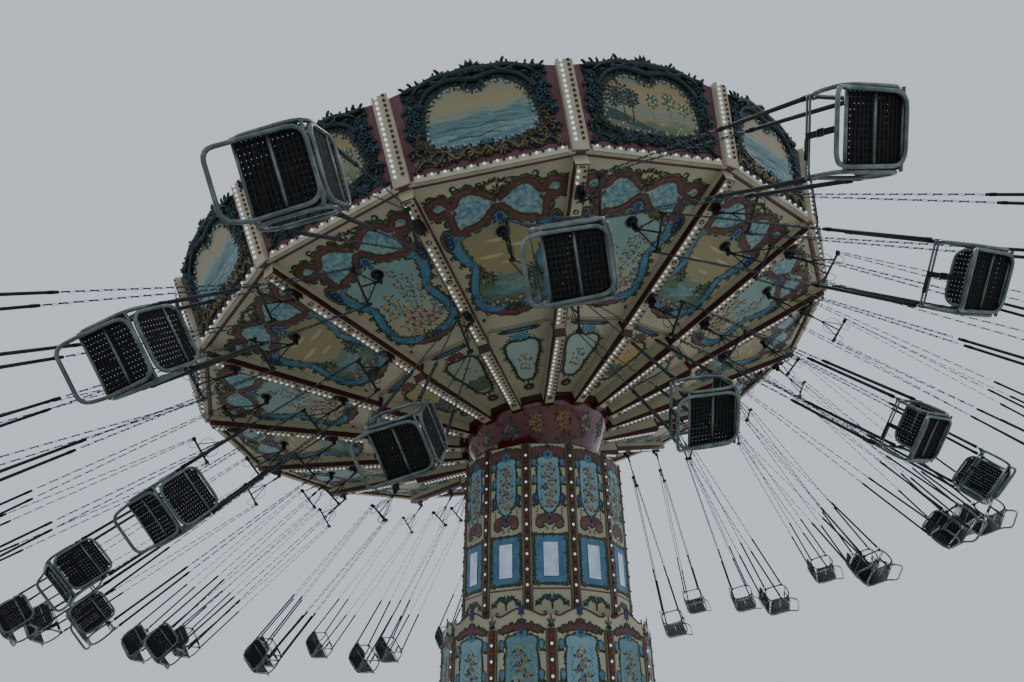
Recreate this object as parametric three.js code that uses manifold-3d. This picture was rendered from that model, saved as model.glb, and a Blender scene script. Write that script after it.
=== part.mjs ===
// Chair swing ride with a lifting, turning and tilting canopy. Millimetres, +Z up.
// The origin is the centre of the base plinth's underside. The photo is taken from -Y.
import * as THREE from 'three';
import Module from 'manifold-3d';

const wasm = await Module();
wasm.setup();
const { Manifold, Mesh } = wasm;
const V = (x, y, z) => new THREE.Vector3(x, y, z);
const rad = (degrees) => degrees * Math.PI / 180;

// Tower
const SIDES = 12;                  // the housing and the column are twelve-sided
const PLINTH_R = 2170;
const PLINTH_TOP = 300;
const HOUSING_R = 1790;            // to the corners
const HOUSING_WALL = 50;
const HOUSING_LOW = 3550;          // top edge at the corners
const HOUSING_CREST = 3650;        // top edge at the middle of each side
const HOUSING_TURN = -120.1;       // degrees, a corner's direction
const COLUMN_R = 1500;
const COLUMN_WALL = 35;
const COLUMN_BOTTOM = 2750;
const COLUMN_TOP = 6440;
const COLUMN_TURN = -103.25;
const FIXED_MAST_R = 500;
const FIXED_MAST_BORE = 352.4;
const FIXED_MAST_TOP = 3200;
const LIFT_MAST_R = 352;
const LIFT_MAST_BOTTOM = 2560;
const DECK_UNDER = 5560;           // the column hangs from this turntable
const DECK_THICK = 70;

// Canopy, in its own frame: z = 0 is the plane of the lower rim corners
const SECTORS = 16;
const PIVOT_Z = 6785;              // the tilt pivot above the ground
const PIVOT_BELOW_RIM = 1750;
const TILT = 10.9;                 // the lean in the photo
const TILT_TOWARDS = 174.8;
const SPIN = -83.62;               // a rib's direction
const RIM_R = 6300;
const INNER_R = 1550;
const INNER_Z = -1169;
const SPLIT_R = 3300;              // inner and outer ceiling panels meet here
const CEILING_THICK = 40;
const BOARD_HEIGHT = 1286;
const BOARD_LEAN = 396;
const BOARD_THICK = 55;
const CREST_RISE = 300;
const PILASTER_W = 230;
const PILASTER_PROUD = 110;
const RIB_W = 200;
const RIB_DEEP = 200;
const RIB_DEEP_INNER = 300;
const RIB_END = 6206;              // just inside the boards' lower edge
const GAP = 0.3;

// Chairs: three rings of sixteen. r: bracket, drop: pivot below the ceiling,
// length: pivot to chair, out: angle from the vertical in flight, lag: behind the arm
const RINGS = {
  outer: { r: 5750, step: 0, drop: 330, length: 5130, out: 54.1, lag: 15.4 },
  middle: { r: 5120, step: 0.5, drop: 140, length: 5170, out: 48.7, lag: 15.7 },
  inner: { r: 3950, step: 0, drop: 330, length: 4690, out: 44.2, lag: 12.6 },
};
const CHAIR_W = 580;               // across the arm rail
const SPREADER_DROP = 680;

// Mesh helpers. A solid is {p: points, t: triangles}; each one is closed.
function outward(s) {
  let v = 0;
  for (const [a, b, c] of s.t) v += s.p[a].dot(V(0, 0, 0).crossVectors(s.p[b], s.p[c]));
  if (v < 0) s.t = s.t.map(([a, b, c]) => [a, c, b]);
  return s;
}

// Side walls between loops of equal length, with flat caps on the first and last
function loft(loops) {
  const n = loops[0].length;
  const p = loops.flat();
  const t = [];
  for (let k = 0; k + 1 < loops.length; k++) {
    for (let i = 0; i < n; i++) {
      const j = (i + 1) % n;
      t.push([k * n + i, k * n + j, (k + 1) * n + j], [k * n + i, (k + 1) * n + j, (k + 1) * n + i]);
    }
  }
  const last = (loops.length - 1) * n;
  for (let i = 1; i + 1 < n; i++) t.push([0, i + 1, i], [last, last + i, last + i + 1]);
  return outward({ p, t });
}

// A closed ring: each station is a loop, and the last station joins the first
function ring(stations) {
  const m = stations[0].length;
  const n = stations.length;
  const p = stations.flat();
  const t = [];
  for (let i = 0; i < n; i++) {
    const a = i * m;
    const b = ((i + 1) % n) * m;
    for (let k = 0; k < m; k++) {
      const l = (k + 1) % m;
      t.push([a + k, b + k, b + l], [a + k, b + l, a + l]);
    }
  }
  return outward({ p, t });
}

// Polygon ring with straight sides; section(f) gives corner radii and heights
function polyRing(sides, turn, section, fractions = [0]) {
  const stations = [];
  for (let i = 0; i < sides; i++) {
    const a = rad(turn + i * 360 / sides);
    const b = rad(turn + (i + 1) * 360 / sides);
    for (const f of fractions) {
      const x = Math.cos(a) * (1 - f) + Math.cos(b) * f;
      const y = Math.sin(a) * (1 - f) + Math.sin(b) * f;
      stations.push(section(f).map(([r, z]) => V(r * x, r * y, z)));
    }
  }
  return ring(stations);
}

function polyDisc(sides, turn, rows) {
  return loft(rows.map(([r, z]) => Array.from({ length: sides }, (_, i) => {
    const a = rad(turn + i * 360 / sides);
    return V(r * Math.cos(a), r * Math.sin(a), z);
  })));
}

// Box on a frame: o origin, x y z unit vectors, and low and high corners
function box(f, lo, hi) {
  const at = (x, y, z) => f.o.clone().addScaledVector(f.x, x).addScaledVector(f.y, y).addScaledVector(f.z, z);
  const row = (z) => [at(lo[0], lo[1], z), at(hi[0], lo[1], z), at(hi[0], hi[1], z), at(lo[0], hi[1], z)];
  return loft([row(lo[2]), row(hi[2])]);
}

// Flat piece with holes: an outline on the plane across axis 'x' or 'y' of a frame
function sheet(f, axis, outline, holes, w0, w1) {
  const v2 = (list) => list.map(([a, b]) => new THREE.Vector2(a, b));
  const contour = v2(outline);
  const inner = holes.map(v2);
  const caps = THREE.ShapeUtils.triangulateShape(contour, inner);
  const flat = [...contour, ...inner.flat()];
  const put = (q, w) => f.o.clone().addScaledVector(f.x, axis === 'x' ? w : q.x)
    .addScaledVector(f.y, axis === 'x' ? q.x : w).addScaledVector(f.z, q.y);
  const n = flat.length;
  const p = [...flat.map((q) => put(q, w0)), ...flat.map((q) => put(q, w1))];
  const area = (l) => l.reduce((sum, q, k) => sum + q.cross(l[(k + 1) % l.length]), 0);
  const t = [];
  for (const [a, b, c] of caps) {
    const ccw = area([flat[a], flat[b], flat[c]]) > 0;
    t.push(ccw ? [a, c, b] : [a, b, c], ccw ? [n + a, n + b, n + c] : [n + a, n + c, n + b]);
  }
  let from = 0;
  for (const l of [contour, ...inner]) {
    const isHole = from > 0;
    const forward = (area(l) > 0) !== isHole;
    for (let k = 0; k < l.length; k++) {
      const a = from + k;
      const b = from + (k + 1) % l.length;
      t.push(...(forward ? [[a, b, n + b], [a, n + b, n + a]] : [[b, a, n + a], [b, n + a, n + b]]));
    }
    from += l.length;
  }
  return outward({ p, t });
}

function toManifold(s) {
  const m = new Mesh({
    numProp: 3,
    vertProperties: new Float32Array(s.p.flatMap((q) => [q.x, q.y, q.z])),
    triVerts: new Uint32Array(s.t.flat()),
  });
  return new Manifold(m);
}

const group = new THREE.Group();
function add(name, solids, colour, matrix) {
  let m = toManifold(solids[0]);
  for (const s of solids.slice(1)) m = m.add(toManifold(s));
  const out = m.getMesh();
  const g = new THREE.BufferGeometry();
  g.setAttribute('position', new THREE.BufferAttribute(new Float32Array(out.vertProperties), 3));
  g.setIndex(Array.from(out.triVerts));
  if (matrix) g.applyMatrix4(matrix);
  const mesh = new THREE.Mesh(g, new THREE.MeshStandardMaterial({ color: colour }));
  mesh.name = name;
  group.add(mesh);
}

// Base and housing
const WORLD = { o: V(0, 0, 0), x: V(1, 0, 0), y: V(0, 1, 0), z: V(0, 0, 1) };
add('base_plinth', [polyDisc(SIDES, HOUSING_TURN, [[PLINTH_R, 0], [PLINTH_R, 200], [1960, PLINTH_TOP]])], 0x55504a);

const housingTop = (f) => HOUSING_LOW + (HOUSING_CREST - HOUSING_LOW) * Math.pow(Math.sin(Math.PI * f), 2);
add('lower_housing', [polyRing(SIDES, HOUSING_TURN, (f) => [
  [HOUSING_R, PLINTH_TOP + GAP],
  [HOUSING_R, housingTop(f)],
  [HOUSING_R - HOUSING_WALL, housingTop(f)],
  [HOUSING_R - HOUSING_WALL, PLINTH_TOP + GAP],
], [0, 0.3, 0.7])], 0xb8b098);

add('fixed_mast', [polyRing(12, 0, () => [
  [FIXED_MAST_BORE, PLINTH_TOP + GAP], [800, PLINTH_TOP + GAP], [800, 360],
  [FIXED_MAST_R, 360], [FIXED_MAST_R, FIXED_MAST_TOP], [FIXED_MAST_BORE, FIXED_MAST_TOP],
])], 0x3a3f44);

add('lift_mast', [polyDisc(12, 0, [
  [LIFT_MAST_R, LIFT_MAST_BOTTOM], [LIFT_MAST_R, DECK_UNDER - 60 - 0.5],
  [520, DECK_UNDER - 60 - 0.4], [520, DECK_UNDER - 0.5]])], 0x6a7076);

// Turning column: cladding, deck, stiffening ring and the cheeks of the tilt axle
const tiltAxis = V(-Math.sin(rad(TILT_TOWARDS)), Math.cos(rad(TILT_TOWARDS)), 0);
const tiltAcross = V(Math.cos(rad(TILT_TOWARDS)), Math.sin(rad(TILT_TOWARDS)), 0);
const AXLE = { o: V(0, 0, 0), x: tiltAcross, y: tiltAxis, z: V(0, 0, 1) };
const columnShell = polyRing(SIDES, COLUMN_TURN, () => [
  [COLUMN_R, COLUMN_BOTTOM], [COLUMN_R, COLUMN_TOP],
  [COLUMN_R - COLUMN_WALL, COLUMN_TOP], [COLUMN_R - COLUMN_WALL, COLUMN_BOTTOM]]);
const columnFoot = polyRing(SIDES, COLUMN_TURN, () => [
  [COLUMN_R - 20, COLUMN_BOTTOM + 1], [COLUMN_R - 20, COLUMN_BOTTOM + 60],
  [COLUMN_R - 160, COLUMN_BOTTOM + 60], [COLUMN_R - 160, COLUMN_BOTTOM + 1]]);
const deck = polyDisc(SIDES, COLUMN_TURN, [[COLUMN_R - 20, DECK_UNDER], [COLUMN_R - 20, DECK_UNDER + DECK_THICK]]);
const CHEEK = 380;
add('centre_column', [columnShell, columnFoot, deck,
  box(AXLE, [-230, CHEEK, DECK_UNDER + 30], [230, CHEEK + 70, PIVOT_Z + 150]),
  box(AXLE, [-230, -CHEEK - 70, DECK_UNDER + 30], [230, -CHEEK, PIVOT_Z + 150]),
], 0xb8b098);

// Canopy frame in the world: rotate about the pivot by the photo's tilt
const canopy = new THREE.Matrix4().makeTranslation(0, 0, PIVOT_Z)
  .multiply(new THREE.Matrix4().makeRotationAxis(tiltAxis, rad(TILT)))
  .multiply(new THREE.Matrix4().makeTranslation(0, 0, PIVOT_BELOW_RIM));

// Ceiling height over a rib, by the corner radius
const ceiling = (r) => INNER_Z * (RIM_R - r) / (RIM_R - INNER_R);
const HUB_UNDER = -1380;

// Tilting head: block between the cheeks, spindle and the bearing flange
add('tilt_head', [
  box(AXLE, [-190, -CHEEK + 0.5, -PIVOT_BELOW_RIM - 170], [190, CHEEK - 0.5, -PIVOT_BELOW_RIM + 170]),
  polyDisc(12, SPIN, [[300, -PIVOT_BELOW_RIM + 100], [300, -350]]),
  polyDisc(12, SPIN, [[620, HUB_UNDER - 80], [620, HUB_UNDER - 0.5]]),
], 0x4a4f54, canopy);

// Chair pivots and swing planes
const tiltRotation = new THREE.Matrix4().makeRotationAxis(tiltAxis, rad(TILT));
const N = V(0, 0, 1).applyMatrix4(tiltRotation);
function chairPlace(kind, i) {
  const c = RINGS[kind];
  const a = rad(SPIN + (i + c.step) * 360 / SECTORS);
  const flat = c.step ? Math.cos(Math.PI / SECTORS) : 1;
  const local = V(c.r * Math.cos(a), c.r * Math.sin(a), ceiling(c.r / flat) - c.drop);
  const pivot = local.clone().applyMatrix4(canopy);
  const er = V(pivot.x, pivot.y, 0).normalize();
  const et = V(-er.y, er.x, 0);
  const d = er.clone().multiplyScalar(Math.sin(rad(c.out)) * Math.cos(rad(c.lag)))
    .addScaledVector(et, Math.sin(rad(c.out)) * Math.sin(rad(c.lag)))
    .addScaledVector(V(0, 0, 1), -Math.cos(rad(c.out)));
  const swing = Math.acos(-d.dot(N));
  const xh = d.clone().addScaledVector(N, -d.dot(N)).normalize();
  const yh = N.clone().cross(xh);
  const xr = xh.clone().multiplyScalar(Math.cos(swing)).addScaledVector(N, Math.sin(swing));
  return { local, pivot, xh, yh, swing, rest: { o: pivot, x: xr, y: yh, z: d.clone().negate() } };
}

// Lug that holds a chair's swivel, in the canopy's own frame
const back = new THREE.Matrix4().copy(tiltRotation).invert();
function bracket(kind, i, up) {
  const c = chairPlace(kind, i);
  const f = { o: c.local, x: c.xh.clone().applyMatrix4(back), y: c.yh.clone().applyMatrix4(back), z: V(0, 0, 1) };
  return [box(f, [-38, 20.5, -35], [38, 48, up])];
}

// Steel canopy frame: hub, plate, ring band, sixteen ribs and the rib brackets
const frameSolids = [
  polyRing(16, SPIN, () => [[335, HUB_UNDER], [480, HUB_UNDER], [480, 2000], [335, 2000]]),
  polyRing(16, SPIN, () => [[470, 1780], [760, 1780], [760, 1850], [470, 1930]]),
  polyDisc(16, SPIN, [[575, 1990], [560, 2030]]),
  polyRing(16, SPIN, () => [[470, -1100], [1500, -1100], [1500, -1040], [470, -1040]]),
  polyRing(16, SPIN, () => [[1440, -1250], [1530, -1250], [1530, -1042], [1440, -1042]]),
];
for (let i = 0; i < SECTORS; i++) {
  const a = rad(SPIN + i * 360 / SECTORS);
  const u = V(Math.cos(a), Math.sin(a), 0);
  const w = V(-Math.sin(a), Math.cos(a), 0);
  const top = (r) => ceiling(r) - GAP;
  const outline = [[1480, top(1480)], [RIB_END, top(RIB_END)], [RIB_END, top(RIB_END) - RIB_DEEP],
    [SPLIT_R, top(SPLIT_R) - RIB_DEEP], [SPLIT_R - 60, top(SPLIT_R - 60) - RIB_DEEP_INNER],
    [1480, Math.max(top(1480) - RIB_DEEP_INNER, -1400)]];
  const side = (s) => outline.map(([r, z]) => V(0, 0, z).addScaledVector(u, r).addScaledVector(w, s * RIB_W / 2));
  frameSolids.push(loft([side(-1), side(1)]));
  frameSolids.push(...bracket('outer', i, 140), ...bracket('inner', i, 140));
}
add('canopy_frame', frameSolids, 0x4a1f1c, canopy);

// Drum bell under the hub, flaring upwards
const bell = [[1470, -1250.5], [1455, -1300], [1385, -1500], [1210, -1730]];
add('drum_bell', [polyRing(16, SPIN, () => [...bell, ...bell.slice().reverse().map(([r, z], i) => [
  r - 32, i === 0 ? z : i === bell.length - 1 ? z : z - 8])])], 0x5a1512, canopy);

const plate = (r0, r1) => polyRing(SECTORS, SPIN, () => [
  [r0, ceiling(r0)], [r1, ceiling(r1)], [r1, ceiling(r1) + CEILING_THICK], [r0, ceiling(r0) + CEILING_THICK]]);
add('inner_ceiling', [plate(1545, SPLIT_R - 15)], 0xa39c80, canopy);
const outerSolids = [plate(SPLIT_R + 15, RIM_R - 75)];
for (let i = 0; i < SECTORS; i++) outerSolids.push(...bracket('middle', i, 155));
add('outer_ceiling', outerSolids, 0xa39c80, canopy);

// Rounding boards: sixteen leaning boards with a carved crest, and corner pilasters
const crest = (f) => BOARD_HEIGHT - 40 + CREST_RISE * Math.pow(Math.sin(Math.PI * f), 2);
const lean = BOARD_LEAN / BOARD_HEIGHT;
const boardR = (z) => RIM_R + lean * z;
const boards = [polyRing(SECTORS, SPIN, (f) => [
  [boardR(-60), -60], [boardR(crest(f)), crest(f)],
  [boardR(crest(f)) - BOARD_THICK, crest(f)], [boardR(-60) - BOARD_THICK, -60]], [0, 0.3, 0.7])];
for (let i = 0; i < SECTORS; i++) {
  const a = rad(SPIN + i * 360 / SECTORS);
  const u = V(Math.cos(a), Math.sin(a), 0);
  const w = V(-Math.sin(a), Math.cos(a), 0);
  const row = (z) => [[-30, -1], [-30, 1], [PILASTER_PROUD - 60, 1], [PILASTER_PROUD - 60, -1]].map(
    ([o, s]) => V(0, 0, z).addScaledVector(u, boardR(z) + o).addScaledVector(w, s * PILASTER_W / 2));
  boards.push(loft([row(-60), row(BOARD_HEIGHT + 10)]));
}
add('rounding_boards', boards, 0x4a2a2a, canopy);

const roofR = boardR(450) - BOARD_THICK - GAP;
add('roof_cone', [polyRing(SECTORS, SPIN, () => [
  [500, 1930.3], [roofR, 450], [roofR, 490], [500, 1975]])], 0x8a8576, canopy);

// Chairs with their chains, spreader bar and swivel stem
function chairSolids(f, length) {
  const w = CHAIR_W / 2;
  const arm = -length + 170;
  const seat = -length - 180;
  const top = -SPREADER_DROP;
  const side = [[-14, top + 20], [14, top + 20], [209, arm + 17], [270, arm + 17], [270, seat - 17],
    [-270, seat - 17], [-270, arm + 17], [-209, arm + 17]];
  const sideHoles = [[[0, top - 36], [189, arm + 18], [-189, arm + 18]],
    [[-236, seat + 16], [236, seat + 16], [236, arm - 16], [-236, arm - 16]]];
  const spreader = [[-w - 5, top - 28], [w + 5, top - 28], [w + 5, top + 28], [26, top + 28],
    [26, 32], [-26, 32], [-26, top + 28], [-w - 5, top + 28]];
  const bucket = [[-235, seat - 14], [264, seat - 14], [264, arm + 150], [241, arm + 150],
    [241, seat + 14], [-235, seat + 14]];
  return [
    sheet(f, 'x', side, sideHoles, -w, -w + 24),
    sheet(f, 'x', side, sideHoles, w - 24, w),
    sheet(f, 'y', spreader, [], -20, 20),
    sheet(f, 'x', bucket, [], -w + 12, w - 12),
  ];
}
for (const kind of ['outer', 'middle', 'inner']) {
  for (let i = 0; i < SECTORS; i++) {
    const name = `${kind}_chair_${String(i + 1).padStart(2, '0')}`;
    add(name, chairSolids(chairPlace(kind, i).rest, RINGS[kind].length), 0x7d8482);
  }
}

export default group;
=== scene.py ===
# Looks for the chair swing ride: finishes, ornament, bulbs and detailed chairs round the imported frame.
# Metres, +Z up. The camera stands on the ground in front of the ride, on -Y, and looks up.
from math import acos, atan, atan2, cos, dist, hypot, pi, radians, sin, sqrt

import bmesh
import bpy
from mathutils import Matrix, Vector


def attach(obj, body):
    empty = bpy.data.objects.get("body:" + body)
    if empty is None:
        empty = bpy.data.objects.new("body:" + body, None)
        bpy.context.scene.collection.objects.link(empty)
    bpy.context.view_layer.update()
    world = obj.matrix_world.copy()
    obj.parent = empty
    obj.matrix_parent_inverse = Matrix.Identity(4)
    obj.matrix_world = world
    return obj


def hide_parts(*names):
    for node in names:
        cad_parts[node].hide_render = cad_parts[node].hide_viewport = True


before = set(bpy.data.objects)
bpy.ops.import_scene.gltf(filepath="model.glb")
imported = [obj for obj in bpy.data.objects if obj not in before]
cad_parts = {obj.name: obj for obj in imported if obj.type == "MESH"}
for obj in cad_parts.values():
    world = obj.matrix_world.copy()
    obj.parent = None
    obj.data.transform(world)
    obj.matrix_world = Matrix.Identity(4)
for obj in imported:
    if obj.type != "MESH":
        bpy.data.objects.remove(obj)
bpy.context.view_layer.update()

# The same sizes as in the part's source, in metres and degrees
PIVOT_Z = 6.785
PIVOT_BELOW_RIM = 1.75
TILT = radians(10.9)
TILT_TOWARDS = radians(174.8)
SPIN = radians(-83.62)
BAYS = 16
SECTOR = 2 * pi / BAYS
RIM_R = 6.3
INNER_R = 1.55
INNER_Z = -1.169
# Joint between the inner and the outer ceiling, and where their art begins
SPLIT_R = 3.3
OUTER_FROM = 3.25
INNER_FROM = 1.56
# The boards' overhang over their height
LEAN = 0.396 / 1.286
COLUMN_R = 1.5
COLUMN_TURN = radians(-103.25)
HOUSING_R = 1.79
HOUSING_TURN = radians(-120.1)
SIDES = 12
SIDE = 2 * pi / SIDES
SPREADER_DROP = 0.68
RINGS = {
    "outer": dict(r=5.75, step=0.0, drop=0.33, length=5.13, out=54.1, lag=15.4),
    "middle": dict(r=5.12, step=0.5, drop=0.14, length=5.17, out=48.7, lag=15.7),
    "inner": dict(r=3.95, step=0.0, drop=0.33, length=4.69, out=44.2, lag=12.6),
}


def axes(origin, x, y, z):
    """A placing matrix from an origin and three unit axes"""
    m = Matrix((x, y, z)).transposed().to_4x4()
    m.translation = origin
    return m


def about_z(angle):
    """A turn about the upright axis"""
    return Matrix.Rotation(angle, 4, "Z")


def spot(x, y, z):
    """A place without a turn"""
    return Matrix.Translation((x, y, z))


tilt_axis = Vector((-sin(TILT_TOWARDS), cos(TILT_TOWARDS), 0))
TILTED = Matrix.Rotation(TILT, 4, tilt_axis)
CANOPY = spot(0, 0, PIVOT_Z) @ TILTED @ spot(0, 0, PIVOT_BELOW_RIM)
UP = TILTED.to_3x3() @ Vector((0, 0, 1))


def ceiling(r):
    """Height of the ceiling's cone at that radius, below the rim"""
    return INNER_Z * (RIM_R - r) / (RIM_R - INNER_R)


# Nodes and finishes
def linear(code):
    """A colour written as sRGB hex, turned to linear"""
    out = []
    for k in (0, 2, 4):
        c = int(code[k:k + 2], 16) / 255
        out.append(c / 12.92 if c <= 0.04045 else ((c + 0.055) / 1.055) ** 2.4)
    return (*out, 1.0)


def put(tree, kind, settings=(), links=()):
    """Adds a node with its settings and its incoming links"""
    n = tree.nodes.new(kind)
    for key, value in settings:
        n.inputs[key].default_value = value
    for socket, source in links:
        tree.links.new(source, n.inputs[socket])
    return n


FINISHES = {}


def begun(name):
    """A new material: its node tree, its shader and its texture coordinates"""
    m = bpy.data.materials.new(name)
    m.use_nodes = True
    FINISHES[name] = m
    return m.node_tree, m.node_tree.nodes["Principled BSDF"], put(m.node_tree, "ShaderNodeTexCoord")


def finish(name, base, second=None, patch_mm=300, blend=(0.35, 0.65), rough=0.4, rough_to=None, grain_mm=4,
           bump_mm=0.0, metallic=0.0, stretch=(1, 1, 1), coat=0.0, glow=0.0):
    """A surface with two blending colours, uneven gloss and a fine relief"""
    t, shader, at = begun(name)
    turned = put(t, "ShaderNodeMapping", [("Scale", stretch)], [("Vector", at.outputs["Object"])])
    patch = put(t, "ShaderNodeTexNoise", [("Scale", 1000 / patch_mm), ("Detail", 5.0), ("Roughness", 0.6)],
                [("Vector", turned.outputs[0])])
    ramp = put(t, "ShaderNodeValToRGB", [], [("Fac", patch.outputs["Fac"])])
    ramp.color_ramp.elements[0].position = blend[0]
    ramp.color_ramp.elements[0].color = linear(base)
    ramp.color_ramp.elements[1].position = blend[1]
    ramp.color_ramp.elements[1].color = linear(second or base)
    t.links.new(ramp.outputs["Color"], shader.inputs["Base Color"])
    grain = put(t, "ShaderNodeTexNoise", [("Scale", 1000 / grain_mm), ("Detail", 3.0)],
                [("Vector", turned.outputs[0])])
    gloss = put(t, "ShaderNodeMapRange", [("From Min", 0.3), ("From Max", 0.7), ("To Min", rough),
                ("To Max", rough_to or rough * 1.35)], [("Value", patch.outputs["Fac"])])
    t.links.new(gloss.outputs["Result"], shader.inputs["Roughness"])
    if bump_mm:
        relief = put(t, "ShaderNodeBump", [("Strength", 0.6), ("Distance", bump_mm / 1000)],
                     [("Height", grain.outputs["Fac"])])
        t.links.new(relief.outputs["Normal"], shader.inputs["Normal"])
    shader.inputs["Metallic"].default_value = metallic
    shader.inputs["Coat Weight"].default_value = coat
    if glow:
        shader.inputs["Emission Color"].default_value = linear(base)
        shader.inputs["Emission Strength"].default_value = glow


def painted(name, stops, reach, brush_mm, wander):
    """Oil paint in uneven strokes, from the picture's foot to its top; reads the panel's own x and y"""
    t, shader, at = begun(name)
    strokes = put(t, "ShaderNodeMapping", [("Scale", (1000 / brush_mm[0], 1000 / brush_mm[1], 1))],
                  [("Vector", at.outputs["UV"])])
    brush = put(t, "ShaderNodeTexNoise", [("Scale", 1.0), ("Detail", 7.0), ("Roughness", 0.68),
                                          ("Distortion", 0.6)], [("Vector", strokes.outputs[0])])
    place = put(t, "ShaderNodeSeparateXYZ", [], [(0, at.outputs["UV"])])
    height = put(t, "ShaderNodeMapRange", [("From Min", reach[0]), ("From Max", reach[1])],
                 [("Value", place.outputs["Y"])])
    shift = put(t, "ShaderNodeMapRange", [("From Min", 0.3), ("From Max", 0.7), ("To Min", -wander),
                                          ("To Max", wander)], [("Value", brush.outputs["Fac"])])
    total = put(t, "ShaderNodeMath", [], [(0, height.outputs[0]), (1, shift.outputs[0])])
    ramp = put(t, "ShaderNodeValToRGB", [], [("Fac", total.outputs[0])])
    marks = ramp.color_ramp.elements
    while len(marks) < len(stops):
        marks.new(0.5)
    for mark, (at_height, code) in zip(marks, stops):
        mark.position = at_height
        mark.color = linear(code)
    t.links.new(ramp.outputs["Color"], shader.inputs["Base Color"])
    shader.inputs["Roughness"].default_value = 0.42


# Sprayed enamel on sheet and plywood: slightly uneven gloss, with dust in wide patches
finish("cream_enamel", "b3ad90", "a29d82", 900, rough=0.42, grain_mm=12, bump_mm=0.5)
finish("cream_moulding", "bfb9a0", "aaa48a", 400, rough=0.36, grain_mm=8, bump_mm=0.4)
finish("maroon_enamel", "4a1d19", "3a1512", 500, rough=0.3, grain_mm=10, bump_mm=0.3)
finish("maroon_line", "451a17", "571f1b", 200, rough=0.4)
finish("dusty_maroon_board", "6b4244", "5b3336", 700, rough=0.5, grain_mm=14, bump_mm=0.8)
finish("olive_moulding", "827648", "6c6240", 200, rough=0.4, grain_mm=8, bump_mm=0.3)
finish("petrol_green_line", "2c5a50", "1f463f", 60, rough=0.42)
finish("plinth_paint", "4b4c4c", "3b3c3d", 300, rough=0.5, grain_mm=8, bump_mm=0.8)
# Brushed ornament paint: the shade changes within one leaf or scroll, and the brush leaves a fine relief
finish("scroll_maroon", "6e403d", "56302e", 160, rough=0.45, grain_mm=6, bump_mm=0.6)
finish("shell_rose", "96625a", "80504a", 120, rough=0.45)
finish("edge_olive", "3f3d20", "262c1a", 70, rough=0.45, bump_mm=0.5)
finish("leaf_green", "25452f", "183326", 80, rough=0.42, bump_mm=0.6)
finish("leaf_gold", "83703a", "5e5228", 80, rough=0.4, bump_mm=0.6)
# Painted carving of wood or glass fibre: deep knife marks, dull, so that light breaks on every leaf
for name, base, second, rough, bump_mm in (
        ("carved_green", "132b27", "0b1c1a", 0.5, 2.5), ("carved_teal", "365c68", "203e48", 0.5, 2.0),
        ("carved_gold", "776842", "3c351d", 0.45, 2.0), ("carved_blue", "253d5e", "172a48", 0.5, 2.0)):
    finish(name, base, second, 110, rough=rough, grain_mm=18, bump_mm=bump_mm)
# Blues of ribbons, fields and medallions: smooth oil paint, cloudy where two tones were brushed together
finish("marbled_blue", "44788a", "93ada2", 75, blend=(0.38, 0.64), rough=0.42)
finish("navy_medallion", "22386b", "16264b", 60, rough=0.36)
for name, base, second, patch_mm in (
        ("ribbon_blue", "4f89a0", "3c7088", 120), ("panel_blue", "4f7f9a", "3c6a86", 140),
        ("panel_blue_light", "6f9aa6", "84a6a4", 260)):
    finish(name, base, second, patch_mm, rough=0.42)
# Painted skies, hills and water: matt, with soft passages from one tone to the next
finish("sky_field", "93aeae", "a9b39d", 420, rough=0.45, grain_mm=10, bump_mm=0.3)
finish("ochre_field", "b39b62", "a5966f", 420, rough=0.45, grain_mm=10, bump_mm=0.3)
finish("hill_green", "5f7452", "4a6353", 120, rough=0.48)
finish("water_blue", "557f88", "6d918e", 160, rough=0.42, stretch=(0.4, 0.4, 3))
# Foam, clouds and petals: thick touches of oil paint, each a little lighter or darker than the next
for name, base, second, patch_mm in (
        ("foam_cream", "a3a88f", "8d9a88", 60), ("cloud_ochre", "bfa877", "a8a384", 200),
        ("petal_rose", "b88d7c", "a3776a", 40), ("petal_blush", "b79a86", "a58272", 50),
        ("petal_cream", "c2b394", "b39f80", 50), ("petal_yellow", "bfa35f", "ab8c50", 40),
        ("petal_white", "c9c6b4", "b4b4a6", 40), ("petal_blue", "4a7fa6", "345f8c", 40),
        ("petal_violet", "7b5a86", "644872", 40)):
    finish(name, base, second, patch_mm, rough=0.45)
# Hand-painted pictures: a surf and a meadow on the boards, a sky for flowers and a lake on the ceiling.
# Each is wet oil paint pulled sideways, from the foot to the top of its field
BOARD_PICTURE = (0.34, 1.27)
CEILING_PICTURE = (0.42, 2.3)
painted("surf_picture", [(0.0, "6d8a88"), (0.12, "446c76"), (0.22, "7d968c"), (0.3, "3e6872"),
                         (0.38, "5e7f72"), (0.46, "3a6671"), (0.53, "7c8875"), (0.64, "8b8763"),
                         (0.76, "94835a"), (0.88, "7f856c"), (1.0, "7b806c")], BOARD_PICTURE, (420, 60), 0.14)
painted("meadow_picture", [(0.0, "3c5140"), (0.16, "5d6a48"), (0.28, "857a50"), (0.4, "6d7a6c"),
                           (0.5, "8a7f58"), (0.7, "8f8055"), (0.86, "85774d"), (1.0, "6c7466")],
        BOARD_PICTURE, (260, 90), 0.15)
painted("flower_sky_picture", [(0.0, "a89d76"), (0.22, "a19c80"), (0.38, "8f9e91"), (0.6, "7a9590"),
                               (0.82, "819b94"), (1.0, "8a9782")], CEILING_PICTURE, (260, 200), 0.14)
painted("lake_picture", [(0.0, "5c6845"), (0.13, "4b5e45"), (0.2, "53797e"), (0.28, "768e85"),
                         (0.34, "506f66"), (0.4, "8c8560"), (0.66, "918759"), (0.82, "8a8364"),
                         (1.0, "738179")], CEILING_PICTURE, (300, 110), 0.1)
# Lacquer over red ground, with a wet gloss and faint streaks down the flare
finish("red_lacquer", "5e1610", "48100c", 500, rough=0.12, rough_to=0.26, grain_mm=40, bump_mm=0.6, coat=0.6,
       stretch=(1, 1, 0.35))
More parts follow.
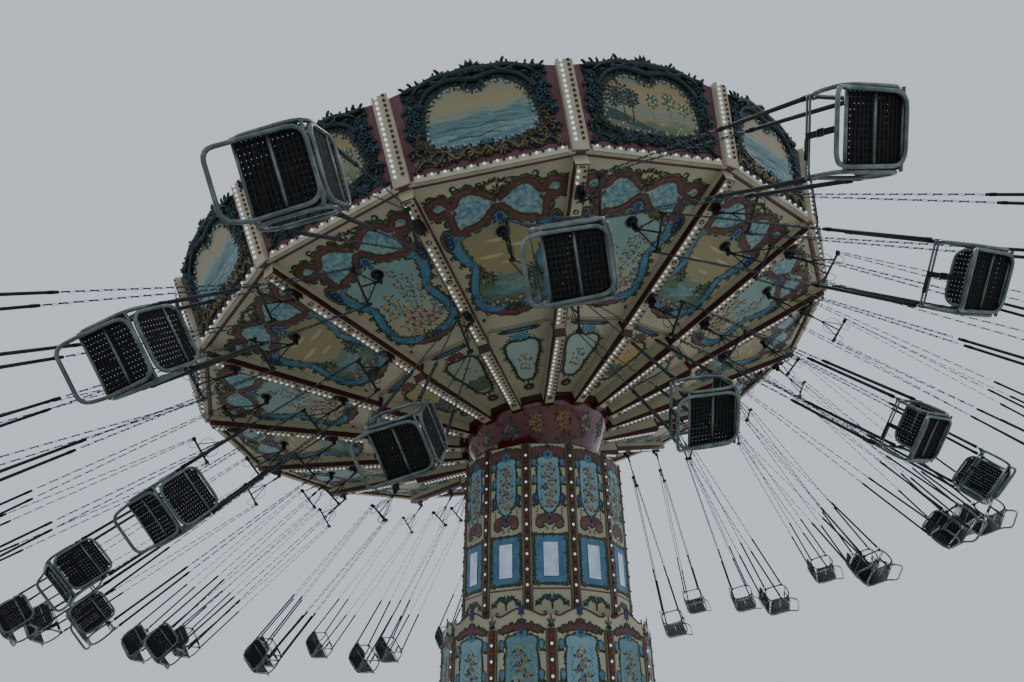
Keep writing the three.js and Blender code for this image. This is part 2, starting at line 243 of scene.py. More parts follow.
# Lamp caps of clear, dyed and frosted plastic: smooth, with a small highlight; the lit ones glow a little
for name, base, second, rough, glow in (
        ("white_bulb", "e9edf2", "d9dfe8", 0.15, 0.55), ("red_bulb", "5e0f0e", "480b0b", 0.15, 0.0),
        ("blue_bulb", "14204f", "101a40", 0.15, 0.0), ("frosted_bulb", "b3b5aa", "a1a49c", 0.3, 0.0),
        ("ruby_bulb", "b01210", "8c0c0c", 0.12, 0.25)):
    finish(name, base, second, 30, rough=rough, glow=glow)
# Hangers and chairs: painted iron with a thin sheen, rubber sleeves, and powder-coated tube that is satin
# grey-green, with brighter patches in its colour that are a painted highlight. Galvanised links are dull
# grey, and webbing is nearly black
finish("black_iron", "17191b", "0e1011", 60, rough=0.42, grain_mm=5, bump_mm=0.4)
finish("black_sleeve", "0f1113", "191c1f", 50, rough=0.5, grain_mm=5, bump_mm=0.8)
# The tube's lighter second tone, in random patches, is a painted highlight
finish("powder_coat_with_painted_highlight", "5d6663", "8b9390", 140, blend=(0.45, 0.75), rough=0.24, rough_to=0.38,
       grain_mm=3, bump_mm=0.15, metallic=0.55)
finish("zinc_chain", "5c6468", "3f464a", 60, rough=0.38, metallic=0.85, grain_mm=4, bump_mm=0.2)
finish("woven_webbing", "050608", "0c0e11", 30, rough=0.7, grain_mm=3, bump_mm=0.5)
# Silvered panes that show the sky, coated roof canvas with a dusty weave, and ground steel wiped with oil
finish("mirror_pane", "c9d2dc", "aab6c6", 260, blend=(0.4, 0.6), rough=0.06, rough_to=0.12, metallic=0.9)
finish("roof_canvas", "8b8674", "767262", 900, rough=0.7, grain_mm=6, bump_mm=0.8)
finish("mast_steel", "70767a", "565c60", 300, rough=0.25, metallic=0.9, grain_mm=3, bump_mm=0.1)


class Work:
    """One piece being made: a bmesh and the finishes that its faces use"""

    def __init__(self):
        self.bm = bmesh.new()
        self.names = []

    def number(self, name):
        """The finish's number on this piece"""
        if name not in self.names:
            self.names.append(name)
        return self.names.index(name)

    def coat(self, verts, name, smooth=False):
        """Gives the faces round these vertices a finish"""
        k = self.number(name)
        for f in {f for v in verts for f in v.link_faces}:
            f.material_index = k
            f.smooth = smooth

    def block(self, m, size, name):
        """A box of that size, centred on m"""
        made = bmesh.ops.create_cube(self.bm, size=1, matrix=m @ Matrix.Diagonal((*size, 1)))
        self.coat(made["verts"], name)

    def bead(self, x, y, z, size, name, turn=0.0):
        """A small bead, long along turn: low and pointed for leaves and petals, round where it is thick"""
        m = spot(x, y, z) @ about_z(turn) @ Matrix.Diagonal((*size, 1))
        if size[2] > 0.8 * min(size[0], size[1]):
            made = bmesh.ops.create_icosphere(self.bm, subdivisions=1, radius=1, matrix=m)
        else:
            sides = 4 if size[1] < 0.85 * size[0] else 6
            made = bmesh.ops.create_cone(self.bm, cap_ends=True, segments=sides, radius1=1, radius2=0,
                                         depth=1.3, matrix=m @ spot(0, 0, 0.35))
        self.coat(made["verts"], name, True)

    def drum(self, m, r1, r2, depth, name, sides=12):
        """A round disc or cone along z, centred on m"""
        made = bmesh.ops.create_cone(self.bm, cap_ends=True, segments=sides, radius1=r1, radius2=r2,
                                     depth=depth, matrix=m)
        self.coat(made["verts"], name, sides > 8)
        for v in made["verts"]:
            for f in v.link_faces:
                if len(f.verts) > 4:
                    f.smooth = False

    def box(self, x, y, z, size, name):
        """A box on the piece's own axes"""
        self.block(spot(x, y, z), size, name)

    def plaque(self, outline, top, name, base=0.0):
        """A flat raised shape with that outline"""
        face = self.bm.faces.new([self.bm.verts.new((x, y, base)) for x, y in outline])
        face.normal_update()
        if face.normal.z < 0:
            face.normal_flip()
        made = bmesh.ops.extrude_face_region(self.bm, geom=[face])["geom"]
        upper = [e for e in made if isinstance(e, bmesh.types.BMVert)]
        bmesh.ops.translate(self.bm, verts=upper, vec=(0, 0, top - base))
        self.coat(upper, name)
        bmesh.ops.triangulate(self.bm, faces=[e for e in made if isinstance(e, bmesh.types.BMFace)])

    def stroke(self, path, widths, height, name):
        """A flat ribbon along a path, with its width at both ends or at each point"""
        if len(widths) == 2:
            n = len(path) - 1
            widths = [widths[0] + (widths[1] - widths[0]) * k / n for k in range(n + 1)]
        left, right = [], []
        for k, (x, y) in enumerate(path):
            a = path[max(k - 1, 0)]
            b = path[min(k + 1, len(path) - 1)]
            d = Vector((b[0] - a[0], b[1] - a[1])).normalized() * widths[k] / 2
            left.append((x - d.y, y + d.x))
            right.append((x + d.y, y - d.x))
        for k in range(len(path) - 1):
            quad = [left[k], right[k], right[k + 1], left[k + 1]]
            verts = [self.bm.verts.new((x, y, height)) for x, y in quad]
            self.bm.faces.new(verts)
            self.coat(verts, name)

    def rim(self, outline, width, height, name):
        """A ribbon of one width right round a closed outline"""
        self.stroke(outline + outline[:1], (width, width), height, name)

    def mesh(self, name, drawn=False):
        """The finished mesh; a drawn one keeps its flat x and y as UV, for the painted pictures"""
        bmesh.ops.remove_doubles(self.bm, verts=self.bm.verts, dist=0.00005)
        if drawn:
            panel = self.bm.loops.layers.uv.new("panel")
            for f in self.bm.faces:
                for loop in f.loops:
                    loop[panel].uv = loop.vert.co.xy
        out = bpy.data.meshes.new(name)
        self.bm.to_mesh(out)
        self.bm.free()
        for n in self.names:
            out.materials.append(FINISHES[n])
        return out

    def tube(self, path, radius, name, closed=False, roundness=2, taper=0.0):
        """A round tube along a path, thinner towards its end by that share"""
        curve = bpy.data.curves.new("tube", "CURVE")
        curve.dimensions = "3D"
        curve.bevel_depth = radius
        curve.bevel_resolution = roundness
        curve.use_fill_caps = True
        spline = curve.splines.new("POLY")
        spline.points.add(len(path) - 1)
        for k, (p, q) in enumerate(zip(spline.points, path)):
            p.co = (*q, 1)
            p.radius = 1 - taper * k / len(path)
        spline.use_cyclic_u = closed
        holder = bpy.data.objects.new("tube", curve)
        made = bpy.data.meshes.new_from_object(holder)
        bpy.data.objects.remove(holder)
        bpy.data.curves.remove(curve)
        for layer in list(made.uv_layers):
            made.uv_layers.remove(layer)
        before = len(self.bm.faces)
        self.bm.from_mesh(made)
        bpy.data.meshes.remove(made)
        self.bm.faces.ensure_lookup_table()
        k = self.number(name)
        for f in self.bm.faces[before:]:
            f.material_index = k
            f.smooth = True


def add(name, data):
    """A new object in the scene"""
    thing = bpy.data.objects.new(name, data)
    bpy.context.scene.collection.objects.link(thing)
    return thing


def copies(name, mesh, places, body):
    """One piece from copies of a mesh at these places"""
    bm = bmesh.new()
    for m in places:
        c = mesh.copy()
        c.transform(m)
        bm.from_mesh(c)
        bpy.data.meshes.remove(c)
    out = bpy.data.meshes.new(name)
    bm.to_mesh(out)
    bm.free()
    for material in mesh.materials:
        out.materials.append(material)
    piece = add(name, out)
    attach(piece, body)
    return piece


# Drawing helpers for ornament, on a flat panel with x across and y up it
def smooth(points, steps=4, closed=False, side=1):
    """A rounded path through the points, or through their mirror images with side -1"""
    points = [(side * x, y) for x, y in points]
    n = len(points)
    out = []
    for k in range(n if closed else n - 1):
        a, b, c, d = (points[(k + j) % n] if closed else points[min(max(k + j, 0), n - 1)]
                      for j in (-1, 0, 1, 2))
        for s in range(steps):
            t = s / steps
            out.append(tuple(
                0.5 * (2 * b[j] + (c[j] - a[j]) * t + (2 * a[j] - 5 * b[j] + 4 * c[j] - d[j]) * t * t
                       + (3 * b[j] - a[j] - 3 * c[j] + d[j]) * t ** 3) for j in range(2)))
    return out if closed else out + points[-1:]


def both(points, steps=4):
    """A closed outline from its right half, which starts and ends on the middle line"""
    left = [(-x, y) for x, y in points[-2:0:-1]]
    return smooth(points + left, steps, True)


def mirrored(angle, side):
    """The angle on the right side, or its mirror image on the left"""
    return angle if side > 0 else pi - angle


def around(n, start=0.0):
    """n angles, evenly all round"""
    return [start + k * 2 * pi / n for k in range(n)]


def spread(n, middle, step):
    """n angles, a step apart, round a middle one"""
    return [middle + (k - (n - 1) / 2) * step for k in range(n)]


def oval(x, y, rx, ry, n):
    """n points round an ellipse"""
    return [(x + rx * cos(a), y + ry * sin(a)) for a in around(n)]


def curl(x, y, r, start, turns, n=10):
    """A spiral that winds inwards from radius r"""
    out = []
    for k in range(n + 1):
        t = k / n
        a = start + turns * 2 * pi * t
        q = r * (1 - 0.78 * t)
        out.append((x + q * cos(a), y + q * sin(a)))
    return out


def fan(work, angles, x, y, z, rx, ry, size, tones, lean=0.0):
    """Long beads on an ellipse, which point away from its middle"""
    for k, a in enumerate(angles):
        work.bead(x + rx * cos(a), y + ry * sin(a), z, size, tones[k % len(tones)], a + lean)


# The turn from one seed of a sunflower to the next, which spreads things evenly and never in rows. The
# bouquets use it in full, the rest rounded
GOLDEN_ANGLE = 2.39996
SEED_TURN = 2.4


def scatter(work, count, x, y, z, rx, ry, size, tones):
    """Long beads that fill an ellipse"""
    for k in range(count):
        a = k * SEED_TURN
        q = sqrt(k / count)
        work.bead(x + rx * q * cos(a), y + ry * q * sin(a), z, size, tones[k % len(tones)], a)


def leaves(work, path, every, size, names, base, side=1, lean=0.7, wobble=0.25):
    """Leaves that stand along a path, leaning forward"""
    run = 0.0
    k = 0
    for a, b in zip(path, path[1:]):
        step = hypot(b[0] - a[0], b[1] - a[1])
        run += step
        if run < every or step == 0:
            continue
        run = 0.0
        k += 1
        along = atan2(b[1] - a[1], b[0] - a[0])
        turn = along + side * (lean + wobble * sin(k * SEED_TURN))
        s = size * (1 + 0.25 * sin(k * 1.7))
        x = b[0] + cos(turn) * s * 0.8
        y = b[1] + sin(turn) * s * 0.8
        work.bead(x, y, base, (s, s * 0.42, s * 0.22), names[k % len(names)], turn)


def blossom(work, x, y, base, r, petal, heart="petal_yellow", spin=0.0):
    """Five petals round a heart"""
    fan(work, around(5, spin), x, y, base, r * 0.62, r * 0.62, (r * 0.5, r * 0.4, r * 0.16), [petal])
    work.bead(x, y, base + r * 0.08, (r * 0.28, r * 0.28, r * 0.16), heart)


def rose(work, x, y, base, r, petal, other, spin=0.0):
    """A full round flower: a soft disc, a ring of petals in another tone and a small dark heart"""
    work.bead(x, y, base, (r, r * 0.92, r * 0.1), petal, spin)
    ring = r * 0.52
    fan(work, around(4, spin), x, y, base + r * 0.05, ring, ring, (r * 0.4, r * 0.24, r * 0.1), [other], 1.3)
    work.bead(x, y, base + r * 0.1, (r * 0.24, r * 0.2, r * 0.1), "cloud_ochre", spin)


def rose_bunch(work, spots, base, r, petal, other):
    """Roses at these places, each with three leaves behind it"""
    for k, (x, y) in enumerate(spots):
        angles = [k * SEED_TURN + q * 2.1 for q in range(3)]
        fan(work, angles, x, y, base - 0.001, r * 1.15, r * 1.15, (r * 0.55, r * 0.22, 0.004),
            ("leaf_green", "hill_green", "carved_teal"))
        rose(work, x, y, base, r * (0.9 + 0.18 * sin(k * SEED_TURN)), petal, other, k * 1.1)


def bouquet(work, x, y, base, wide, tall, r, petals, count, seed):
    """A loose bunch of blossoms with leaves between, in a fixed scatter"""
    for k in range(count):
        a = (k + seed) * GOLDEN_ANGLE
        q = sqrt((k + 0.5) / count)
        px = x + wide * q * cos(a)
        py = y + tall * q * sin(a)
        work.bead(px + r * cos(a * 3), py + r * sin(a * 3), base - 0.001, (r * 0.9, r * 0.35, r * 0.12),
                  "leaf_green", a * 3)
        blossom(work, px, py, base, r * (0.8 + 0.3 * sin(a * 5)), petals[k % len(petals)], spin=a)


# Canopy: places for ribs, bays, boards and pilasters
FLAT = cos(SECTOR / 2)
SLOPE = atan((ceiling(2) - ceiling(1)) / FLAT)


def rib_place(i):
    """On the canopy's axis, with x out along that rib"""
    return CANOPY @ about_z(SPIN + i * SECTOR)


def ceiling_place(i, r):
    """On the underside of that bay, with y outwards from radius r and z down"""
    c, s = cos(SLOPE), sin(SLOPE)
    panel = axes((r, 0, ceiling(r / FLAT)), (0, 1, 0), (c, 0, s), (s, 0, -c))
    return CANOPY @ about_z(SPIN + (i + 0.5) * SECTOR) @ panel


def leaning(origin_r, slope):
    """Upright against the rim, leaning out by that slope"""
    n = hypot(1, slope)
    return axes((origin_r, 0, 0), (0, 1, 0), (slope / n, 0, 1 / n), (1 / n, 0, -slope / n))


def board_place(i):
    """On the foot of the board over that bay"""
    return CANOPY @ about_z(SPIN + (i + 0.5) * SECTOR) @ leaning(RIM_R * FLAT, LEAN * FLAT)


def pilaster_place(i):
    """On the foot of the pilaster over that rib"""
    return CANOPY @ about_z(SPIN + i * SECTOR) @ leaning(RIM_R + 0.05, LEAN)


# Ribs: cream under-strip with a maroon line at each edge, bulb pairs, empty lamp rings, hanger plates.
# The underside lies parallel to the ceiling outside and runs straight down to the hub inside
RIB_DEEP = 0.2
HUB_R, HUB_Z = 1.48, -1.4
JOINT_R = 3.24
JOINT_Z = ceiling(JOINT_R) - 0.3


def rib_under(r):
    """Height of the ribs' underside at that radius, below the rim"""
    if r >= SPLIT_R:
        return ceiling(r) - RIB_DEEP
    t = (r - HUB_R) / (JOINT_R - HUB_R)
    return HUB_Z * (1 - t) + JOINT_Z * t


def halfway(a, b):
    """Halfway between two points straight out from the axis, with x along the line and z upwards"""
    along = (b - a).normalized()
    across = Vector((0, 1, 0))
    return axes((a + b) / 2, along, across, along.cross(across))


rib = Work()
for r0, r1 in ((SPLIT_R + 0.005, 6.19), (INNER_FROM, SPLIT_R - 0.07)):
    for y, width, thick, name in ((0, 0.188, 0.004, "cream_enamel"), (-0.088, 0.01, 0.007, "maroon_line"),
                                  (0.088, 0.01, 0.007, "maroon_line")):
        a, b = (Vector((r, y, rib_under(r))) for r in (r0, r1))
        rib.block(halfway(a, b) @ spot(0, 0, -thick / 2), ((b - a).length, width, thick), name)
for y in (-0.1022, 0.1022):
    for r0, r1, deep in ((SPLIT_R + 0.005, 6.2, 0.095), (INNER_FROM, SPLIT_R - 0.065, 0.17)):
        a, b = (Vector((r, y, ceiling(r) - 0.002 - deep / 2)) for r in (r0, r1))
        rib.block(halfway(a, b), ((b - a).length, 0.004, deep), "cream_enamel")
rib.box(6.208, 0, ceiling(6.208) - 0.1, (0.004, 0.204, 0.2), "cream_enamel")
lamps = [6.11, 6.02, 5.93]
for first, count in ((5.36, 7), (4.62, 6), (3.72, 4), (3.14, 15)):
    lamps += [first - 0.094 * k for k in range(count)]
for r in lamps:
    z = rib_under(r) - 0.012
    rib.bead(r, -0.046, z, (0.023, 0.023, 0.021), "white_bulb")
    rib.bead(r, 0.046, z, (0.027, 0.027, 0.021), "red_bulb")
for r in (5.47, 4.71, 4.04, 1.7):
    holder = [(x, y, rib_under(r) - 0.006) for x, y in oval(r, 0, 0.036, 0.036, 12)]
    rib.tube(holder, 0.011, "black_iron", True, 1)
for r in (5.15, 4.4, 2.9, 2.2):
    rib.bead(r, 0.106, rib_under(r) + 0.1, (0.02, 0.02, 0.02), "frosted_bulb")
tip_r = 6.165
for y in (-0.03, 0.03):
    rib.box(tip_r, y, rib_under(tip_r) - 0.008, (0.03, 0.022, 0.006), "leaf_green")
rib.bead(tip_r, 0, rib_under(tip_r) - 0.008, (0.03, 0.012, 0.006), "leaf_green")
for r in (RINGS["outer"]["r"], RINGS["inner"]["r"]):
    top = rib_under(r)
    rib.box(r, 0, top - 0.012, (0.34, 0.11, 0.024), "black_iron")
    rib.box(r, 0.062, top - 0.05, (0.17, 0.012, 0.1), "black_iron")
    for x in (-0.13, 0.13):
        rib.drum(spot(r + x, 0, top - 0.03), 0.02, 0.02, 0.02, "zinc_chain", 6)
copies("rib_strips_and_bulbs", rib.mesh("rib_dressing"), [rib_place(i) for i in range(BAYS)], "canopy")


# Ceiling panels: layered cartouches, first the long outer panels, then the short inner ones
def leafy(work, path, lobe, width=0.0, closed=True, z=0.0):
    """Lobed acanthus edge in three layers, under a scroll of that width, or of that width at each point"""
    path = path + path[:1] if closed else path
    n = len(path)
    if not isinstance(width, list):
        width = [width] * n
    ends = [1.0 if closed else min(1.0, 0.35 + 0.25 * min(k, n - 1 - k)) for k in range(n)]
    parts = list(enumerate(zip(width, ends)))
    green = [(w + lobe * (2.1 + sin(k * 2.1) + 0.4 * sin(k * 4.83))) * e for k, (w, e) in parts]
    gold = [(w + lobe * (1.1 + 0.5 * sin(k * 2.1 + 1.2))) * e for k, (w, e) in parts]
    olive = [(w + 0.026) * e for k, (w, e) in parts]
    work.stroke(path, green, z + 0.0024, "leaf_green")
    work.stroke(path, gold, z + 0.0029, "leaf_gold")
    work.stroke(path, olive, z + 0.0034, "edge_olive")


SCROLL = [(0, 2.5), (0.12, 2.57), (0.25, 2.66), (0.4, 2.7), (0.53, 2.66), (0.6, 2.56), (0.64, 2.5),
          (0.71, 2.57), (0.8, 2.64), (0.92, 2.61), (0.98, 2.52), (0.94, 2.42), (0.85, 2.38), (0.77, 2.41),
          (0.71, 2.34), (0.69, 2.22), (0.67, 2.1), (0.6, 2.0), (0.5, 2.07), (0.36, 2.1), (0.22, 2.17),
          (0.12, 2.28), (0.05, 2.36), (0, 2.36)]


def shield(work, outline, top, name, lobe, width=0.0, line=0.014, proud=0.002, edge="edge_olive"):
    """A raised shape with lobed leaves round it and a thin line along its edge"""
    leafy(work, outline, lobe, width)
    work.plaque(outline, top, name)
    work.rim(outline, line, top + proud, edge)


def scroll_end(work):
    """The maroon scroll round marbled fields, at the rim end of an outer panel"""
    outline = both(SCROLL, 3)
    shield(work, outline, 0.0028, "marbled_blue", 0.05, 0.088, 0.084, 0.0016)
    work.rim(outline, 0.066, 0.006, "scroll_maroon")
    for s in (1, -1):
        roll = curl(s * 0.655, 2.405, 0.095, pi / 2, -s * 0.85)
        work.stroke(roll, (0.085, 0.035), 0.0052, "edge_olive")
        work.stroke(roll, (0.068, 0.022), 0.007, "scroll_maroon")
        for path in ([(0.97, 2.6), (1.03, 2.66), (1.075, 2.62), (1.06, 2.57)],
                     [(0.58, 2.7), (0.62, 2.78), (0.57, 2.81), (0.54, 2.77)],
                     [(0.2, 2.68), (0.26, 2.76), (0.21, 2.79), (0.17, 2.75)],
                     [(0.98, 2.42), (1.03, 2.34), (0.99, 2.3), (0.95, 2.33)],
                     [(0.74, 2.3), (0.8, 2.24), (0.78, 2.18), (0.74, 2.2)]):
            work.stroke(smooth(path, side=s), (0.046, 0.016), 0.005, "leaf_green")
        top = [(x, y + 0.05) for x, y in smooth(SCROLL[1:10], 3, side=s)]
        leaves(work, top, 0.07, 0.034, ["leaf_green", "edge_olive", "leaf_gold"], 0.004, s, 1.0, 0.6)
    crest = smooth([(-0.26, 2.66), (-0.13, 2.72), (0, 2.76), (0.13, 2.72), (0.26, 2.66)], 6)
    leaves(work, crest, 0.03, 0.055, ["leaf_gold", "leaf_green", "edge_olive"], 0.005, 1, 0.9, 0.6)
    leaves(work, crest[::-1], 0.034, 0.05, ["leaf_green", "leaf_gold"], 0.006, -1, 0.9, 0.6)
    scatter(work, 14, 0, 2.6, 0.006, 0.11225, 0.11973, (0.055, 0.024, 0.01),
            ("leaf_gold", "leaf_green", "edge_olive"))


RIBBONS = [
    ([(0.57, 1.98), (0.68, 1.94), (0.72, 1.84), (0.68, 1.68), (0.6, 1.52), (0.52, 1.38)], 0.15),
    ([(0.53, 1.48), (0.5, 1.34), (0.53, 1.16), (0.57, 0.98), (0.56, 0.82), (0.49, 0.73)], 0.115),
    ([(0.57, 0.84), (0.57, 0.7), (0.49, 0.57), (0.37, 0.5), (0.24, 0.47), (0.12, 0.5)], 0.12),
]
SPRIGS = [(0.8, 1.6, 0.052, 3.6), (0.7, 1.42, 0.044, 3.4), (0.64, 1.22, 0.05, 3.5), (0.69, 0.96, 0.052, 3.4),
          (0.67, 0.74, 0.046, 3.0), (0.6, 0.55, 0.052, 2.6), (0.44, 0.4, 0.05, 2.2), (0.53, 0.27, 0.03, 2.2)]


def ribbon_sides(work):
    """Blue C-scrolls with leafy edges down both sides of an outer panel, with curls outside them"""
    for s in (1, -1):
        for line, wide in RIBBONS:
            path = smooth(line, side=s)
            n = len(path)
            swell = [0.03 + (wide - 0.03) * sin(pi * (0.1 + 0.8 * k / (n - 1))) for k in range(n)]
            leafy(work, path, 0.042, swell, closed=False)
            work.stroke(path, swell, 0.0046, "ribbon_blue")
            fold = [(x - s * 0.2 * w, y) for (x, y), w in zip(path, swell)]
            work.stroke(fold, [w * 0.22 for w in swell], 0.0054, "panel_blue")
            outer = [(x + s * (w / 2 + 0.025), y) for (x, y), w in zip(path, swell)]
            leaves(work, outer, 0.06, 0.036, ["leaf_green", "edge_olive", "leaf_green", "leaf_gold"], 0.003,
                   -s, 1.0, 0.6)
            inner = [(x - s * (w / 2 + 0.012), y) for (x, y), w in zip(path, swell)]
            leaves(work, inner, 0.07, 0.024, ["edge_olive", "leaf_green"], 0.004, s, 0.8, 0.5)
        for x, y, r, a in SPRIGS:
            work.stroke(curl(s * x, y, r * 1.1, mirrored(a, s), -s * 0.95), (0.04, 0.014), 0.004,
                        "leaf_green")
        medallion = [(s * (0.8 + 0.085 * cos(a)), 1.93 + 0.17 * sin(a) + 0.03 * cos(a)) for a in around(16)]
        shield(work, medallion, 0.005, "navy_medallion", 0.018, 0.03, 0.02, 0.0015, "leaf_gold")
        for k in range(3):
            work.bead(s * 0.79, 1.84 + 0.085 * k, 0.006, (0.034, 0.022, 0.008), "ribbon_blue", 0.4)
            work.bead(s * 0.84, 1.88 + 0.085 * k, 0.006, (0.024, 0.016, 0.008), "leaf_green", -0.6)
    leaf = both([(0, 0.31), (0.14, 0.31), (0.28, 0.35), (0.42, 0.44), (0.42, 0.49), (0.27, 0.43), (0.12, 0.4),
                 (0, 0.39)], 3)
    leafy(work, leaf, 0.022, 0.01)
    work.plaque(leaf, 0.0045, "scroll_maroon")
    scatter(work, 22, 0, 0.46, 0.007, 0.17, 0.085, (0.046, 0.02, 0.008),
            ("leaf_green", "carved_teal", "edge_olive"))
    for k in range(-2, 3):
        work.bead(0.045 * k, 0.275 + 0.012 * abs(k), 0.004, (0.022, 0.045, 0.008), "leaf_green", -0.35 * k)


FIELD = [(0, 0.44), (0.2, 0.45), (0.38, 0.53), (0.51, 0.66), (0.53, 0.84), (0.52, 1.04), (0.49, 1.24),
         (0.48, 1.44), (0.56, 1.6), (0.64, 1.76), (0.64, 1.92), (0.56, 2.03), (0.36, 2.08), (0.21, 2.14),
         (0.11, 2.25), (0, 2.32)]


def lake_view(work):
    """A lake between wooded banks under an evening sky, with roses along its foot"""
    for s, y in ((1, 0.86), (-1, 0.96)):
        bank = smooth([(0.53, y + 0.06), (0.36, y + 0.05), (0.16, y - 0.04), (0.3, y - 0.1),
                       (0.53, y - 0.12)], 4, True, s)
        work.plaque(bank, 0.0028, "hill_green")
    for x, y, w in ((-0.24, 1.52, 0.2), (0.26, 1.66, 0.18), (0.04, 1.36, 0.14), (-0.08, 1.8, 0.2)):
        cloud = [(x + w * cos(a) * (1 + 0.2 * sin(3 * a)), y + w * 0.16 * sin(a)) for a in around(14)]
        work.plaque(cloud, 0.0026, "cloud_ochre")
    for x, y, h in ((-0.4, 0.98, 0.34), (0.4, 0.88, 0.4), (0.28, 0.86, 0.26), (-0.28, 0.96, 0.22),
                    (0.48, 0.88, 0.26)):
        work.stroke([(x, y), (x + 0.01, y + h * 0.5)], (0.02, 0.008), 0.0042, "edge_olive")
        scatter(work, 15, x, y + h * 0.66, 0.004, 0.085, 0.13, (0.038, 0.024, 0.005),
                ("leaf_green", "hill_green", "edge_olive"))
    row = [(-0.34 + 0.075 * k, 0.58 + 0.05 * sin(SEED_TURN * k)) for k in range(9)]
    rose_bunch(work, row, 0.006, 0.042, "petal_blush", "petal_cream")


# Bunches of roses: height, size, two tones and the places
BUNCHES = [
    (0.005, 0.052, "petal_blush", "petal_white",
     [(0.16, 1.84), (0.26, 1.72), (0.38, 1.62), (0.14, 1.6), (0.28, 1.52), (0.4, 1.4), (0.2, 1.36),
      (0.36, 1.22)]),
    (0.005, 0.066, "petal_yellow", "cloud_ochre",
     [(-0.14, 1.46), (-0.28, 1.32), (-0.1, 1.3), (-0.22, 1.16), (-0.06, 1.12), (-0.34, 1.08)]),
    (0.006, 0.058, "petal_yellow", "petal_cream", [(-0.24, 0.66), (-0.14, 0.56), (-0.26, 0.82)]),
    (0.006, 0.046, "petal_blue", "panel_blue_light",
     [(0.38, 0.96), (0.44, 0.84), (0.36, 0.8), (0.42, 1.06)]),
]


def flower_view(work):
    """A full bunch of roses at the foot, yellow ones beside it and pink sprays rising from it"""
    for x, y in ((0.2, 1.86), (0.34, 1.66), (0.4, 1.4), (0.26, 1.5), (0.1, 1.62), (-0.2, 1.5), (-0.34, 1.3)):
        twig = smooth([(0.04, 0.8), (x * 0.75, y * 0.6 + 0.36), (x, y)], 5)
        work.stroke(twig, (0.009, 0.004), 0.003, "hill_green")
        for side in (1, -1):
            leaves(work, twig, 0.075, 0.026, ["hill_green", "carved_teal", "leaf_green"], 0.003, side, 0.8)
    low = []
    for k in range(15):
        q = sqrt((k + 0.5) / 15)
        low.append((0.06 + 0.25 * q * cos(SEED_TURN * k), 0.8 + 0.22 * q * sin(SEED_TURN * k)))
    for height, r, petal, other, spots in BUNCHES + [(0.006, 0.072, "petal_blush", "petal_cream", low)]:
        rose_bunch(work, spots, height, r, petal, other)


def outer_panel(kind):
    """The panel from the joint to the rim: a picture between ribbons and scrolls, with a jewel at its top"""
    work = Work()
    work.plaque(both(FIELD, 3), 0.002, "lake_picture" if kind else "flower_sky_picture")
    (lake_view if kind else flower_view)(work)
    ribbon_sides(work)
    scroll_end(work)
    jewel = oval(0, 2.2, 0.06, 0.085, 12)
    fan(work, spread(11, pi / 2, 0.19 * pi), 0, 2.21, 0.007, 0.13, 0.12, (0.06, 0.022, 0.008),
        ("carved_teal", "leaf_green"))
    work.plaque(jewel, 0.01, "navy_medallion")
    work.rim(jewel, 0.018, 0.011, "ribbon_blue")
    return work.mesh("outer_panel", drawn=True)


def slot_bar(work, y, half):
    """Blue bar with green pointed ends, at the joint between the outer and inner panels"""
    work.stroke([(-half, y), (half, y)], (0.095, 0.095), 0.004, "edge_olive")
    work.stroke([(-half + 0.03, y), (half - 0.03, y)], (0.062, 0.062), 0.006, "navy_medallion")
    work.stroke([(-half + 0.1, y + 0.004), (half - 0.1, y + 0.004)], (0.02, 0.02), 0.007, "ribbon_blue")
    for s in (1, -1):
        work.stroke([(s * (half - 0.04), y), (s * (half + 0.07), y)], (0.09, 0.01), 0.0065, "leaf_green")
        leaves(work, [(s * (half - 0.08 + 0.03 * k), y) for k in range(5)], 0.03, 0.04,
               ["leaf_green", "edge_olive"], 0.005, s)


for kind in (0, 1):
    panel = outer_panel(kind)
    places = [ceiling_place(i, OUTER_FROM) for i in range(kind, BAYS, 2)]
    copies(f"outer_ceiling_art_{kind + 1}", panel, places, "canopy")


